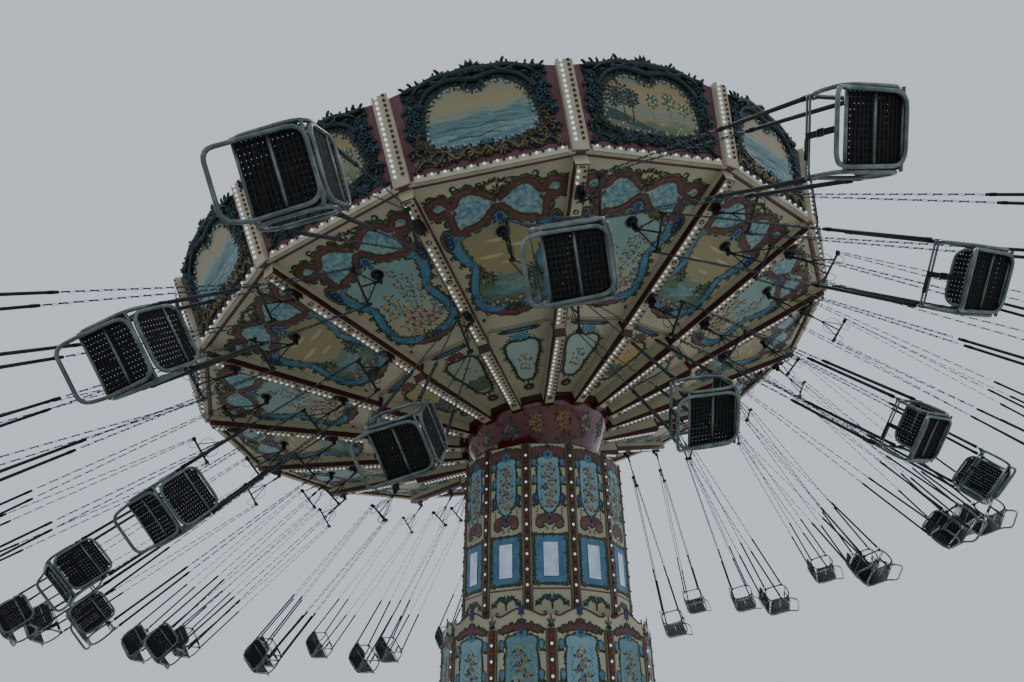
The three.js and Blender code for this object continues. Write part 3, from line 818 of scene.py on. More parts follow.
def inner_panel(kind):
    """The short panel from the hub to the joint, with one of three fields"""
    work = Work()
    outline = both([(0, 0.42), (0.1, 0.44), (0.17, 0.58), (0.2, 0.78), (0.26, 0.98), (0.3, 1.18),
                    (0.28, 1.34), (0.16, 1.42), (0, 1.4)], 3)
    work.plaque(outline, 0.002, ("sky_field", "ochre_field", "foam_cream")[kind])
    work.rim(outline, 0.045, 0.004, "leaf_green")
    ring = outline + outline[:1]
    leaves(work, ring, 0.035, 0.042, ["leaf_green", "edge_olive", "leaf_green", "leaf_gold"], 0.003, -1, 1.0)
    leaves(work, ring[::-1], 0.055, 0.03, ["leaf_green", "leaf_gold"], 0.004, -1, 0.8)
    for s in (1, -1):
        for x, y, r, a in ((0.36, 1.3, 0.05, 3.4), (0.33, 1.02, 0.045, 3.3), (0.25, 0.7, 0.04, 3.3),
                           (0.12, 1.5, 0.055, 4.2)):
            work.stroke(curl(s * x, y, r, mirrored(a, s), -s * 0.9), (0.022, 0.008), 0.004, "edge_olive")
    crest = both([(0, 1.46), (0.08, 1.44), (0.16, 1.5), (0.1, 1.56), (0, 1.6)], 3)
    work.plaque(crest, 0.005, "scroll_maroon" if kind else "ribbon_blue")
    leaves(work, crest + crest[:2], 0.04, 0.035, ["leaf_green", "leaf_gold"], 0.004, -1)
    if kind == 0:
        bouquet(work, 0.02, 0.86, 0.004, 0.13, 0.24, 0.036,
                ["petal_rose", "petal_yellow", "petal_blue", "petal_white"], 13, 2)
    else:
        hill = both([(0, 0.5), (0.14, 0.54), (0.19, 0.76), (0.1, 0.86), (0, 0.8)], 3)
        work.plaque(hill, 0.003, "hill_green")
        bouquet(work, 0, 0.66, 0.004, 0.12, 0.1, 0.034, ["petal_rose", "petal_violet"], 8, 5)
        bouquet(work, 0.02, 1.08, 0.004, 0.14, 0.1, 0.026, ["petal_yellow", "petal_rose"], 6, 1)
    # The rosette by the hub and the stalk that rises from it
    fan(work, around(13), 0, 0.225, 0.003, 0.075, 0.065, (0.05, 0.022, 0.01), ("leaf_green", "edge_olive"))
    work.bead(0, 0.225, 0.005, (0.055, 0.05, 0.012), "shell_rose")
    fan(work, around(5), 0, 0.225, 0.012, 0.03, 0.03, (0.02, 0.014, 0.006), ["petal_rose"])
    work.stroke([(0, 0.3), (0, 0.42)], (0.02, 0.03), 0.004, "edge_olive")
    slot_bar(work, 1.66, 0.3)
    return work.mesh("inner_panel")


for kind in (0, 1, 2):
    panel = inner_panel(kind)
    places = [ceiling_place(i, INNER_FROM) for i in range(kind, BAYS, 3)]
    copies(f"inner_ceiling_art_{kind + 1}", panel, places, "canopy")

# Seam trim along the ceiling's rim, and the round hanger plates of the middle chairs
trim = Work()
trim.stroke([(-1.11, 2.915), (1.11, 2.915)], (0.03, 0.03), 0.004, "maroon_line")
trim.stroke([(-0.5, 0.035), (0.5, 0.035)], (0.012, 0.012), 0.003, "edge_olive")
boss = spot(0, (RINGS["middle"]["r"] - OUTER_FROM) / cos(SLOPE), 0.009)
trim.drum(boss, 0.1, 0.1, 0.018, "black_iron", 20)
trim.drum(boss @ spot(0, 0, 0.03), 0.07, 0.035, 0.045, "black_iron", 16)
for x, y in oval(0, 0, 0.082, 0.082, 6):
    trim.drum(boss @ spot(x, y, 0.013), 0.009, 0.009, 0.012, "zinc_chain", 6)
copies("ceiling_trim", trim.mesh("ceiling_trim"), [ceiling_place(i, OUTER_FROM) for i in range(BAYS)],
       "canopy")

# Rounding boards: cream bulb moulding below, painted field, carved frame with leaf crest and blossoms
BOARD_FIELD = [(0, 1.19), (0.1, 1.22), (0.22, 1.29), (0.38, 1.29), (0.52, 1.21), (0.65, 1.1), (0.73, 0.95),
               (0.76, 0.76), (0.78, 0.56), (0.72, 0.42), (0.54, 0.36), (0.3, 0.33), (0, 0.33)]
FRAME_EDGE = [(0, 1.6), (0.12, 1.6), (0.24, 1.54), (0.4, 1.54), (0.54, 1.53), (0.68, 1.47), (0.82, 1.44),
              (0.96, 1.4), (1.04, 1.32), (1.0, 1.1), (0.97, 0.92), (1.03, 0.74), (0.98, 0.52), (1.03, 0.34),
              (0.96, 0.2), (1.04, 0.1), (0.82, 0.15), (0.6, 0.11), (0.42, 0.18), (0.22, 0.13), (0.1, 0.18),
              (0, 0.15)]


def branch(work, path, r, name, z):
    """A carved round branch with a taper at its end"""
    work.tube([(x, y, z) for x, y in path], r * 0.9, name, False, 1, taper=0.4)


def surf_view(work):
    """Waves that come in under an evening sky, with foam at their foot"""
    for k in range(7):
        y = 0.72 - 0.05 * k
        reach = 0.64 - 0.045 * k
        x = 0.1 * sin(k * 2.1)
        wave = smooth([(x - reach, y), (x - reach * 0.5, y + 0.025), (x, y - 0.01),
                       (x + reach * 0.4, y + 0.03), (x + reach * 0.8, y)])
        work.stroke(wave, (0.01 + 0.003 * k, 0.016), 0.0158,
                    ("water_blue", "hill_green", "carved_teal")[k % 3])
    for k in range(34):
        a = k * SEED_TURN
        work.bead(0.62 * cos(a) * sqrt(k / 34), 0.48 + 0.11 * sin(a), 0.014, (0.046, 0.011, 0.003),
                  ("foam_cream", "water_blue")[k % 2], 0.4 * sin(a))


def meadow_view(work):
    """A dark bank with three tall trees on the left, far trees and a pond on the right, flowers in front"""
    bank = smooth([(-0.74, 0.62), (-0.52, 0.58), (-0.3, 0.5), (-0.05, 0.42), (0.22, 0.37)])
    work.stroke(bank, (0.2, 0.03), 0.0158, "leaf_green")
    work.stroke([(0.02, 0.66), (0.34, 0.62), (0.72, 0.6)], (0.03, 0.016), 0.0158, "water_blue")
    for x, y, tall, wide, tones in (
            (-0.58, 0.6, 0.44, 0.14, ("carved_green", "carved_teal", "leaf_green")),
            (-0.44, 0.62, 0.5, 0.16, ("carved_green", "leaf_green", "carved_teal")),
            (-0.3, 0.58, 0.48, 0.13, ("carved_teal", "carved_green", "leaf_green")),
            (0.04, 0.7, 0.3, 0.1, ("hill_green", "cloud_ochre", "hill_green")),
            (0.34, 0.7, 0.34, 0.12, ("hill_green", "hill_green", "cloud_ochre")),
            (0.56, 0.66, 0.24, 0.09, ("hill_green", "cloud_ochre", "hill_green"))):
        foot, bark = (0.014, "hill_green") if x > -0.2 else (0.026, "carved_green")
        work.stroke([(x, y - 0.1), (x, y + tall * 0.6)], (foot, 0.008), 0.0162, bark)
        scatter(work, 30, x, y + tall * 0.68, 0.015, wide, wide * 1.2, (0.036, 0.026, 0.003), tones)
    for k in range(18):
        a = k * SEED_TURN
        work.bead(0.5 * cos(a), 0.47 + 0.06 * sin(a), 0.015, (0.018, 0.018, 0.004),
                  ("petal_rose", "petal_yellow", "petal_white")[k % 3])


PICTURE_MIDDLE = 0.8


def towards(outline, x, y):
    """The point of an outline that lies in that direction from the picture's middle"""
    return max(outline,
               key=lambda q: (q[0] * x + (q[1] - PICTURE_MIDDLE) * y) / hypot(q[0], q[1] - PICTURE_MIDDLE))


def leaf_bed(work, inner, edge, gold_foot):
    """Rows of carved leaves that fill the frame between the picture and its edge"""
    count = 62
    green = ("carved_green", "leaf_green", "carved_teal")
    for row, (depth, size) in enumerate(((0.2, 0.05), (0.45, 0.058), (0.7, 0.062), (0.93, 0.058))):
        for k in range(count):
            a = (k + 0.5 * (row % 2)) / count * 2 * pi
            ray = (sin(a), -cos(a))
            near, far = towards(inner, *ray), towards(edge, *ray)
            x = near[0] + (far[0] - near[0]) * depth
            y = near[1] + (far[1] - near[1]) * depth
            tones = ("carved_gold", "edge_olive", "leaf_gold") if y < 0.55 and gold_foot else green
            turn = atan2(ray[1], ray[0]) + 0.9 * sin(k * 1.9 + row * 2)
            work.bead(x, y, 0.016 + 0.004 * row, (size, size * 0.4, size * 0.3), tones[(k + row) % 3], turn)


def carved_crest(work, s):
    """Thick twisted branches from the knot in the middle to that corner, with a few pointed leaves"""
    top = smooth([(0.0, 1.5), (0.2, 1.48), (0.42, 1.485), (0.6, 1.45), (0.78, 1.38), (1.0, 1.34)], 5, side=s)
    under = smooth([(0.0, 1.34), (0.16, 1.38), (0.36, 1.4), (0.56, 1.34), (0.72, 1.22), (0.83, 1.04)], 5,
                   side=s)
    third = smooth([(0.05, 1.44), (0.24, 1.51), (0.46, 1.39), (0.66, 1.43), (0.88, 1.27)], 5, side=s)
    branch(work, top, 0.066, "carved_green", 0.035)
    branch(work, under, 0.056, "carved_green", 0.03)
    branch(work, third, 0.026, "leaf_green", 0.06)
    for x, y in ((0.16, 1.43), (0.36, 1.44), (0.55, 1.39), (0.74, 1.3)):
        work.bead(s * x, y, 0.055, (0.06, 0.018, 0.03), "carved_blue", -s * 0.35)
    for x, y, r, a in ((0.03, 1.61, 0.085, 1.5), (0.1, 1.58, 0.075, 0.9), (0.17, 1.53, 0.06, 0.5),
                       (0.06, 1.5, 0.09, 2.6), (0.12, 1.44, 0.08, 0.2), (0.05, 1.4, 0.08, 1.2),
                       (0.3, 1.53, 0.045, 1.1), (0.47, 1.57, 0.066, 0.9), (0.53, 1.53, 0.046, 1.9),
                       (0.78, 1.46, 0.05, 1.3), (0.88, 1.44, 0.055, 0.8), (1.0, 1.39, 0.06, 0.6),
                       (0.4, 1.54, 0.04, 2.4), (0.66, 1.47, 0.04, 1.0)):
        work.bead(s * x, y, 0.04, (r, r * 0.44, 0.024), "carved_green", mirrored(a, s))
    leaves(work, under, 0.1, 0.034, ["carved_green", "leaf_green"], 0.05, -s, 0.8, 0.6)
    work.stroke(curl(s * 0.09, 1.24, 0.065, pi / 2, -s), (0.05, 0.02), 0.042, "carved_green")
    work.stroke(curl(s * 0.74, 1.02, 0.06, pi, s), (0.04, 0.02), 0.042, "carved_green")


def carved_side(work, s):
    """Blossoms at the upper corner and down that side, over two rows of leaves"""
    for x, y, r in ((0.9, 1.21, 0.062), (0.81, 1.09, 0.056), (0.96, 1.06, 0.066), (0.87, 0.96, 0.058),
                    (0.99, 0.9, 0.056), (0.88, 0.82, 0.056), (0.97, 0.74, 0.05)):
        blossom(work, s * x, y, 0.045, r, "carved_teal", "carved_green", x * 9)
    path = smooth([(1.02, 1.14), (0.94, 0.94), (1.01, 0.72), (0.95, 0.5), (1.0, 0.34)], 5, side=s)
    leaves(work, path, 0.05, 0.06, ["carved_green", "leaf_green", "carved_teal"], 0.03, s, 0.8, 0.6)
    leaves(work, path, 0.06, 0.06, ["carved_green", "carved_teal"], 0.04, -s, 0.8, 0.6)


def scrollwork(work, s, tone):
    """A shell wing up the lower corner and S-scrolls with blue fills along the foot, on that side"""
    wing = smooth([(0.5, 0.31), (0.68, 0.34), (0.84, 0.41), (0.92, 0.54), (0.88, 0.68)], 5, side=s)
    branch(work, wing, 0.018, tone, 0.03)
    leaves(work, wing, 0.03, 0.04, [tone, "edge_olive"], 0.045, s, 1.2, 0.1)
    leaves(work, wing, 0.034, 0.034, [tone, "edge_olive"], 0.045, -s, 1.2, 0.1)
    for x, y, w in ((0.16, 0.24, 0.07), (0.38, 0.26, 0.09), (0.62, 0.23, 0.09), (0.84, 0.27, 0.075)):
        work.plaque(oval(s * x, y, w, 0.04, 10), 0.018, "carved_blue", 0.012)
    low = smooth([(0, 0.3), (0.12, 0.19), (0.26, 0.31), (0.42, 0.18), (0.56, 0.3), (0.7, 0.17), (0.86, 0.24),
                  (1.02, 0.1)], 6, side=s)
    branch(work, low, 0.026, tone, 0.026)
    leaves(work, low, 0.07, 0.045, [tone, "edge_olive", tone], 0.03, s, 0.9, 0.4)
    leaves(work, low, 0.09, 0.04, [tone, "carved_green"], 0.03, -s, 0.9, 0.4)
    for x, y, r, a in ((0.24, 0.21, 0.045, 0.5), (0.52, 0.22, 0.05, 2.0), (0.76, 0.31, 0.05, 1.0),
                       (0.97, 0.2, 0.045, 4.0), (0.95, 0.42, 0.045, 0.2)):
        work.stroke(curl(s * x, y, r, mirrored(a, s), s), (0.028, 0.014), 0.04, tone)


def field_lamps(work, ring):
    """27 lamps at even steps round the picture, a little inside its edge"""
    run = 0.0
    every = sum(dist(a, b) for a, b in zip(ring, ring[1:])) / 27
    for a, b in zip(ring, ring[1:]):
        run += dist(a, b)
        if run >= every:
            run -= every
            x, y = b[0] * 0.955, PICTURE_MIDDLE + (b[1] - PICTURE_MIDDLE) * 0.93
            work.bead(x, y, 0.032, (0.03, 0.03, 0.024), "frosted_bulb" if b[1] < 0.7 else "foam_cream")


def carved_board(kind):
    """A rounding board: surf with a gold foot, or meadow in green carving all round"""
    work = Work()
    edge = both(FRAME_EDGE, 3)
    inner = both(BOARD_FIELD, 3)
    work.plaque(edge, 0.012, "carved_green")
    work.plaque(inner, 0.014, "meadow_picture" if kind else "surf_picture", 0.01)
    (meadow_view if kind else surf_view)(work)
    leaf_bed(work, inner, edge, kind == 0)
    for s in (1, -1):
        carved_crest(work, s)
        carved_side(work, s)
        scrollwork(work, s, "carved_green" if kind else "carved_gold")
    # Shell at the bottom middle, scalloped edge of small leaves, and the lamps round the field
    fan(work, spread(7, pi / 2, 0.14 * pi), 0, 0.315, 0.035, 0.06, 0.05, (0.06, 0.016, 0.016),
        ["carved_teal"])
    ring = inner + inner[:2]
    leaves(work, ring, 0.055, 0.035, ["carved_green", "edge_olive"], 0.022, -1, 1.1, 0.5)
    field_lamps(work, ring)
    # Moulding with white and blue lamps along the foot
    for y, z, size in ((-0.012, 0.022, (2.12, 0.085, 0.044)), (0.04, 0.012, (2.12, 0.02, 0.024)),
                       (-0.068, -0.012, (2.3, 0.006, 0.092)), (-0.034, 0.004, (2.2, 0.07, 0.006))):
        work.box(0, y, z, size, "cream_moulding")
    for k in range(-11, 12):
        work.bead(k * 0.09, 0.022, 0.052, (0.023, 0.023, 0.021), "white_bulb" if k % 2 else "blue_bulb")
    return work.mesh("carved_board", drawn=True)


for kind in (0, 1):
    board = carved_board(kind)
    places = [board_place(i) for i in range(1 - kind, BAYS, 2)]
    copies(f"board_carving_{kind + 1}", board, places, "canopy")

# Pilasters: flat cream posts over the board joints, with two rows of lamps
pilaster = Work()
steep = hypot(1, LEAN)
top, foot = 1.296 * steep, -0.06 * steep
middle, tall = (top + foot) / 2, top - foot
pilaster.box(0, middle, 0.004, (0.226, tall, 0.01), "cream_enamel")
for s in (-1, 1):
    pilaster.box(s * 0.11, middle, 0.008, (0.012, tall, 0.018), "cream_moulding")
    pilaster.box(s * 0.1165, middle, -0.045, (0.004, tall, 0.094), "cream_moulding")
pilaster.box(0, foot - 0.004, -0.04, (0.237, 0.008, 0.1), "cream_moulding")
for k in range(16):
    y = 0.075 + 0.0835 * k
    pilaster.bead(-0.056, y, 0.016, (0.028, 0.028, 0.024), "white_bulb")
    pilaster.bead(0.056, y + 0.012, 0.016, (0.027, 0.027, 0.023), "red_bulb")
copies("board_pilasters", pilaster.mesh("pilaster"), [pilaster_place(i) for i in range(BAYS)], "canopy")

# Bell: lacquered drum that bulges from the ring band down into the column, bouquets all round it
BELL = [(1.462, -1.252), (1.462, -1.3), (1.43, -1.38), (1.375, -1.5), (1.3, -1.625), (1.22, -1.745),
        (1.14, -1.865), (1.085, -1.985), (1.05, -2.12)]
bell = Work()
profile = [bell.bm.verts.new((r, 0, z)) for r, z in BELL]
profile += [bell.bm.verts.new((r - 0.03, 0, z)) for r, z in reversed(BELL)]
edges = [bell.bm.edges.new((a, b)) for a, b in zip(profile, profile[1:] + profile[:1])]
bmesh.ops.spin(bell.bm, geom=profile + edges, cent=(0, 0, 0), axis=(0, 0, 1), angle=2 * pi, steps=80)
bmesh.ops.remove_doubles(bell.bm, verts=bell.bm.verts, dist=0.0001)
bmesh.ops.recalc_face_normals(bell.bm, faces=bell.bm.faces)
bell.coat(bell.bm.verts, "red_lacquer", True)
bell_shell = copies("bell_shell", bell.mesh("bell_shell"), [CANOPY @ about_z(SPIN)], "canopy")
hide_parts("drum_bell")

band = Work()
for k in range(BAYS):
    turn = about_z(SPIN + (k + 0.5) * SECTOR)
    band.block(turn @ spot(1.548 * FLAT, 0, -1.15), (0.03, 0.612, 0.2), "maroon_enamel")
    band.block(turn @ spot(1.515 * FLAT, 0, -1.262), (0.06, 0.6, 0.026), "maroon_enamel")
    band.block(turn @ spot(1.56 * FLAT, 0, -1.05), (0.04, 0.618, 0.014), "black_iron")
copies("bell_ring_band", band.mesh("bell_ring_band"), [CANOPY], "canopy")

# How far down the bell the flat bouquets have their zero height, and the radius at which they keep their
# width
SPRAY_DOWN = 0.47
BEND_R = 1.28


def bell_spray(kind):
    """One bouquet, drawn flat and then bent round the bell"""
    work = Work()
    sets = (["petal_yellow", "petal_rose", "petal_yellow"], ["petal_blue", "petal_white", "petal_yellow"],
            ["petal_rose", "petal_violet", "petal_blue"])[kind]
    bouquet(work, 0, 0.06, 0.002, 0.11, 0.2, 0.045, sets, 17, kind + 1)
    for k in range(16):
        a = k * SEED_TURN
        q = 0.16 * sqrt(0.3 + k / 16)
        work.bead(q * cos(a), 0.02 + q * 1.45 * sin(a), 0, (0.03, 0.012, 0.004),
                  ("leaf_green", "leaf_gold")[k % 2], a)
    for s in (-1, 0, 1):
        work.stroke([(0.02 * s, -0.1), (0.05 * s, -0.27)], (0.01, 0.006), 0.004, "leaf_green")
    lengths = [0.0]
    for a, b in zip(BELL, BELL[1:]):
        lengths.append(lengths[-1] + dist(a, b))
    for v in work.bm.verts:
        run = SPRAY_DOWN - v.co.y
        k = max(i for i, q in enumerate(lengths[:-1]) if q <= max(run, 0))
        a, b = Vector(BELL[k]), Vector(BELL[k + 1])
        out = Vector((a.y - b.y, b.x - a.x)).normalized()
        r, z = a + (b - a) * (run - lengths[k]) / (lengths[k + 1] - lengths[k]) + out * (v.co.z + 0.003)
        turn = v.co.x / BEND_R
        v.co = (r * cos(turn), r * sin(turn), z)
    return work.mesh("bell_spray")


for kind in range(3):
    places = [CANOPY @ about_z(SPIN + (i + 0.5) * SECTOR) for i in range(kind, BAYS, 3)]
    copies(f"bell_bouquets_{kind + 1}", bell_spray(kind), places, "canopy")


# Column and housing: painted facets between lamp strips on the corners
def wall_place(turn, radius, i):
    """Upright on the tower, with y up and z outwards, at corner i or at the side between two corners"""
    face = axes((radius, 0, 0), (0, 1, 0), (0, 0, 1), (1, 0, 0))
    return about_z(turn + i * SIDE) @ face


def tower_sides(turn, radius, kind):
    """Every second side of a tower with that corner radius"""
    return [wall_place(turn, radius * cos(SIDE / 2), i + 0.5) for i in range(kind, SIDES, 2)]


def tower_corners(turn, radius):
    """Every corner of the tower"""
    return [wall_place(turn, radius, i) for i in range(SIDES)]


HOOD = [(0, 0.15), (0.06, 0.17), (0.15, 0.155), (0.23, 0.15), (0.285, 0.12), (0.298, 0.06), (0.265, 0.02),
        (0.29, -0.03), (0.255, -0.06), (0.22, -0.04), (0.195, -0.01), (0.15, 0.02), (0.1, 0.03), (0, 0.05)]


def side_scrolls(work, s, half, low, reach):
    """Two blue drops and a dark one down that side of a rose panel, in leafy scrolls"""
    for k, (f, w, tall) in enumerate(((0.88, 0.036, 0.07), (0.57, 0.038, 0.072), (0.24, 0.048, 0.09))):
        x = s * half * (1.24 - 0.04 * k)
        y = low + f * reach
        drop = [(x + w * cos(a) * (1 + 0.3 * sin(a)), y + tall * sin(a)) for a in around(12)]
        leafy(work, drop, 0.016)
        work.plaque(drop, 0.0048, "navy_medallion" if k == 2 else "panel_blue")
        work.bead(x - s * 0.01, y + tall * 0.2, 0.004, (0.012, tall * 0.45, 0.003), "panel_blue_light")
        fan(work, spread(6, pi / 2, 0.5), x + s * 0.015, y - tall * 1.35, 0.005, 0.04, 0.03,
            (0.032, 0.011, 0.005), ("edge_olive", "leaf_green", "leaf_gold"), 0.3 * s)
        for q in range(4):
            work.bead(s * half * (1.05 + 0.03 * sin(q * 2)), y - tall * (1.9 + 0.5 * q), 0.005,
                      (0.026, 0.012, 0.004), ("leaf_green", "edge_olive")[q % 2], 1.2 * s + q)
    for f, r in ((0.12, 0.04), (0.2, 0.03)):
        path = curl(s * half * 1.28, low + f * reach, r, 2.2 if s > 0 else 0.9, -s * 0.9)
        work.stroke(path, (0.022, 0.008), 0.005, "edge_olive")


def rose_panel(work, half, low, high, field, seed, cap=True):
    """A tall field of roses between leafy side scrolls, with a blue jewel at its top and a maroon cap"""
    reach = high - low
    shape = [(0, high), (half * 0.46, high - 0.015 * reach), (half * 0.88, high - 0.035 * reach),
             (half * 1.0, high - 0.09 * reach), (half * 0.9, high - 0.15 * reach),
             (half, high - 0.26 * reach), (half, low + 0.5 * reach), (half * 0.97, low + 0.3 * reach),
             (half * 0.8, low + 0.17 * reach), (half * 0.5, low + 0.07 * reach),
             (half * 0.22, low + 0.02 * reach), (0, low)]
    outline = both(shape, 3)
    shield(work, outline, 0.0038, field, 0.024, proud=0.0014)
    for side in (1, -1):
        leaves(work, outline + outline[:1], 0.055, 0.028, ["edge_olive", "leaf_green", "leaf_gold"], 0.002,
               side, 0.8, 0.5)
        side_scrolls(work, side, half, low, reach)
    # Blossoms that wander up the field, smaller towards the top, with leaves and buds beside them
    steps = int(reach / 0.085)
    tones = ["petal_rose", "petal_yellow", "petal_white", "petal_rose", "petal_yellow", "petal_violet",
             "petal_yellow"]
    for k in range(steps):
        f = (k + 0.5) / steps
        y = low + (0.1 + 0.76 * f) * reach
        x = half * (0.42 if 0.2 < f < 0.7 else 0.26) * sin(k * 2.1 + seed)
        r = 0.056 - 0.018 * f
        blossom(work, x, y, 0.009, r, tones[(k + seed) % 7], "petal_white", k)
        blossom(work, -x * 0.9, y + 0.03, 0.008, r * 0.75, tones[(k * 3 + seed) % 7], spin=k * 2)
        for q in (-1, 1):
            work.bead(x + q * 0.055, y - 0.02, 0.006, (0.04, 0.015, 0.004), "leaf_green", 0.8 * q + k)
            work.bead(x * 0.5 + q * half * 0.55, y + 0.02, 0.006, (0.016, 0.01, 0.004), "petal_blue", k)
            work.bead(q * half * 0.62, y - 0.015, 0.006, (0.022, 0.007, 0.003), "hill_green", k * 1.3)
    if cap:
        hood = both([(x, high + y) for x, y in HOOD], 3)
        fan(work, spread(5, pi / 2, 0.55), 0, high + 0.17, 0.005, 0.03, 0.03, (0.034, 0.012, 0.005),
            ("leaf_green", "carved_teal"))
        shield(work, hood, 0.005, "scroll_maroon", 0.022)
    halo = []
    for a in around(32):
        r = 0.08 + 0.008 * cos(8 * a)
        halo.append((r * cos(a), high + 0.02 + r * sin(a)))
    gem = [(0, high - 0.03), (0.045, high + 0.02), (0, high + 0.07), (-0.045, high + 0.02)]
    work.plaque(halo, 0.0072, "panel_blue")
    work.plaque(gem, 0.01, "navy_medallion")
    work.rim(gem, 0.012, 0.011, "ribbon_blue")


SHELL = [(0, 0.12), (0.12, 0.11), (0.22, 0.07), (0.27, -0.02), (0.26, -0.12), (0.19, -0.17), (0.12, -0.13),
         (0.13, -0.06), (0.07, -0.06), (0, -0.1)]


def maroon_shell(work, y, size):
    """Two rolled maroon scrolls with a blue drop between them"""
    body = both([(x * size, y + q * size) for x, q in SHELL], 3)
    shield(work, body, 0.005, "scroll_maroon", 0.014, line=0.013)
    for s in (1, -1):
        roll = curl(s * 0.19 * size, y - 0.09 * size, 0.065 * size, pi * 0.4, -s * 1.2)
        work.stroke(roll, (0.022, 0.012), 0.008, "leaf_gold")
        tail = smooth([(0.1 * size, y - 0.12 * size), (0.04 * size, y - 0.19 * size),
                       (0.09 * size, y - 0.22 * size)], side=s)
        work.stroke(tail, (0.022, 0.01), 0.005, "leaf_green")
    for k in range(3):
        work.bead(0, y + (0.1 - 0.07 * k) * size, 0.007, (0.03 * size, 0.042 * size, 0.006),
                  ("panel_blue", "navy_medallion", "panel_blue")[k])


def window(work):
    """A mirrored pane in a leafy blue frame, with a fan of leaves in each corner"""
    outline = [(-0.268, 4.05), (0.268, 4.05), (0.268, 4.835), (-0.268, 4.835)]
    work.plaque([(x * 1.1, 4.44 + (y - 4.44) * 1.045) for x, y in outline], 0.003, "edge_olive")
    work.plaque(outline, 0.005, "panel_blue")
    ring = []
    for a, b in zip(outline, outline[1:] + outline[:1]):
        ring += [(a[0] + (b[0] - a[0]) * k / 10, a[1] + (b[1] - a[1]) * k / 10) for k in range(10)]
    leafy(work, ring, 0.016, z=0.0032)
    leaves(work, ring + ring[:1], 0.03, 0.03, ["edge_olive", "leaf_green", "edge_olive"], 0.006, 1, 0.9, 0.6)
    leaves(work, ring + ring[:1], 0.03, 0.026, ["edge_olive", "leaf_gold", "leaf_green"], 0.006, -1, 0.7, 0.6)
    for s in (-1, 1):
        for y, up in ((4.085, -1), (4.8, 1)):
            fan(work, spread(5, atan2(up, s), 0.5), s * 0.235, y, 0.007, 0.04, 0.035, (0.052, 0.018, 0.006),
                ("leaf_gold", "edge_olive"))
    work.box(0, 4.437, 0.006, (0.25, 0.55, 0.01), "petrol_green_line")
    work.box(0, 4.437, 0.009, (0.24, 0.54, 0.008), "mirror_pane")


def column_facet(kind):
    """One side of the column: roses above, then a shell, the window and leafy arms below it"""
    work = Work()
    rose_panel(work, 0.195, 5.19, 6.215, "panel_blue_light", kind)
    maroon_shell(work, 5.085, 0.84)
    window(work)
    work.stroke([(-0.335, 3.976), (0.335, 3.976)], (0.02, 0.02), 0.005, "maroon_line")
    for s in (1, -1):
        arm = smooth([(0, 3.8), (0.08, 3.855), (0.15, 3.83), (0.21, 3.745), (0.25, 3.755)], 5, side=s)
        work.stroke(arm, (0.085, 0.02), 0.005, "leaf_green")
        end = curl(s * 0.235, 3.775, 0.03, -1.2 if s > 0 else 4.3, s * 0.9)
        work.stroke(end, (0.022, 0.01), 0.006, "leaf_green")
        leaves(work, arm, 0.035, 0.036, ["leaf_green", "carved_green"], 0.004, s, 0.9, 0.4)
        leaves(work, arm, 0.05, 0.03, ["leaf_green", "edge_olive"], 0.004, -s, 0.9, 0.4)
        work.bead(s * 0.075, 3.815, 0.007, (0.03, 0.022, 0.006), "scroll_maroon", 0.5 * s)
    work.bead(0, 3.83, 0.008, (0.026, 0.04, 0.007), "ribbon_blue")
    for k in range(4):
        work.bead(0, 3.77 - 0.03 * k, 0.005, (0.032 - 0.006 * k, 0.018, 0.006), "leaf_green")
    # Cream sheet of the facet, a little proud of the steel, in two lengths with a seam
    for y0, y1 in ((2.77, 3.974), (3.98, 6.43)):
        work.box(0, (y0 + y1) / 2, -0.003, (0.68, y1 - y0, 0.004), "cream_enamel")
    return work.mesh("column_facet")


def lamp_strip(low, high, every, first, red):
    """Corner strip with alternate lamps between two rounded mouldings"""
    work = Work()
    mid = (low + high) / 2
    work.box(0, mid, -0.004, (0.084, high - low, 0.022), "maroon_enamel")
    for s in (1, -1):
        work.tube([(s * 0.058, low, -0.018), (s * 0.058, high, -0.018)], 0.019, "olive_moulding", False, 3)
        work.box(s * 0.082, mid, -0.02, (0.01, high - low, 0.012), "petrol_green_line")
    k = 0
    y = low + first
    while y < high - 0.03:
        work.bead(0, y, 0.012, (0.029, 0.029, 0.023), red if k % 2 else "white_bulb")
        work.drum(spot(0, y, 0.006), 0.036, 0.032, 0.008, "maroon_line", 10)
        y += every
        k += 1
    return work.mesh("lamp_strip")


for kind in (0, 1):
    places = tower_sides(COLUMN_TURN, COLUMN_R, kind)
    copies(f"column_art_{kind + 1}", column_facet(kind), places, "column")
copies("column_lamp_strips", lamp_strip(2.77, 6.425, 0.1217, 0.04, "red_bulb"),
       tower_corners(COLUMN_TURN, COLUMN_R), "column")
finial = Work()
fan(finial, spread(5, pi / 2, -0.6), 0, 6.425, 0.0, 0.02, 0.025, (0.034, 0.012, 0.01), ["carved_green"])
finial.bead(0, 6.43, 0.012, (0.016, 0.016, 0.012), "carved_teal")
copies("column_finials", finial.mesh("finial"), tower_corners(COLUMN_TURN, COLUMN_R - 0.01), "column")


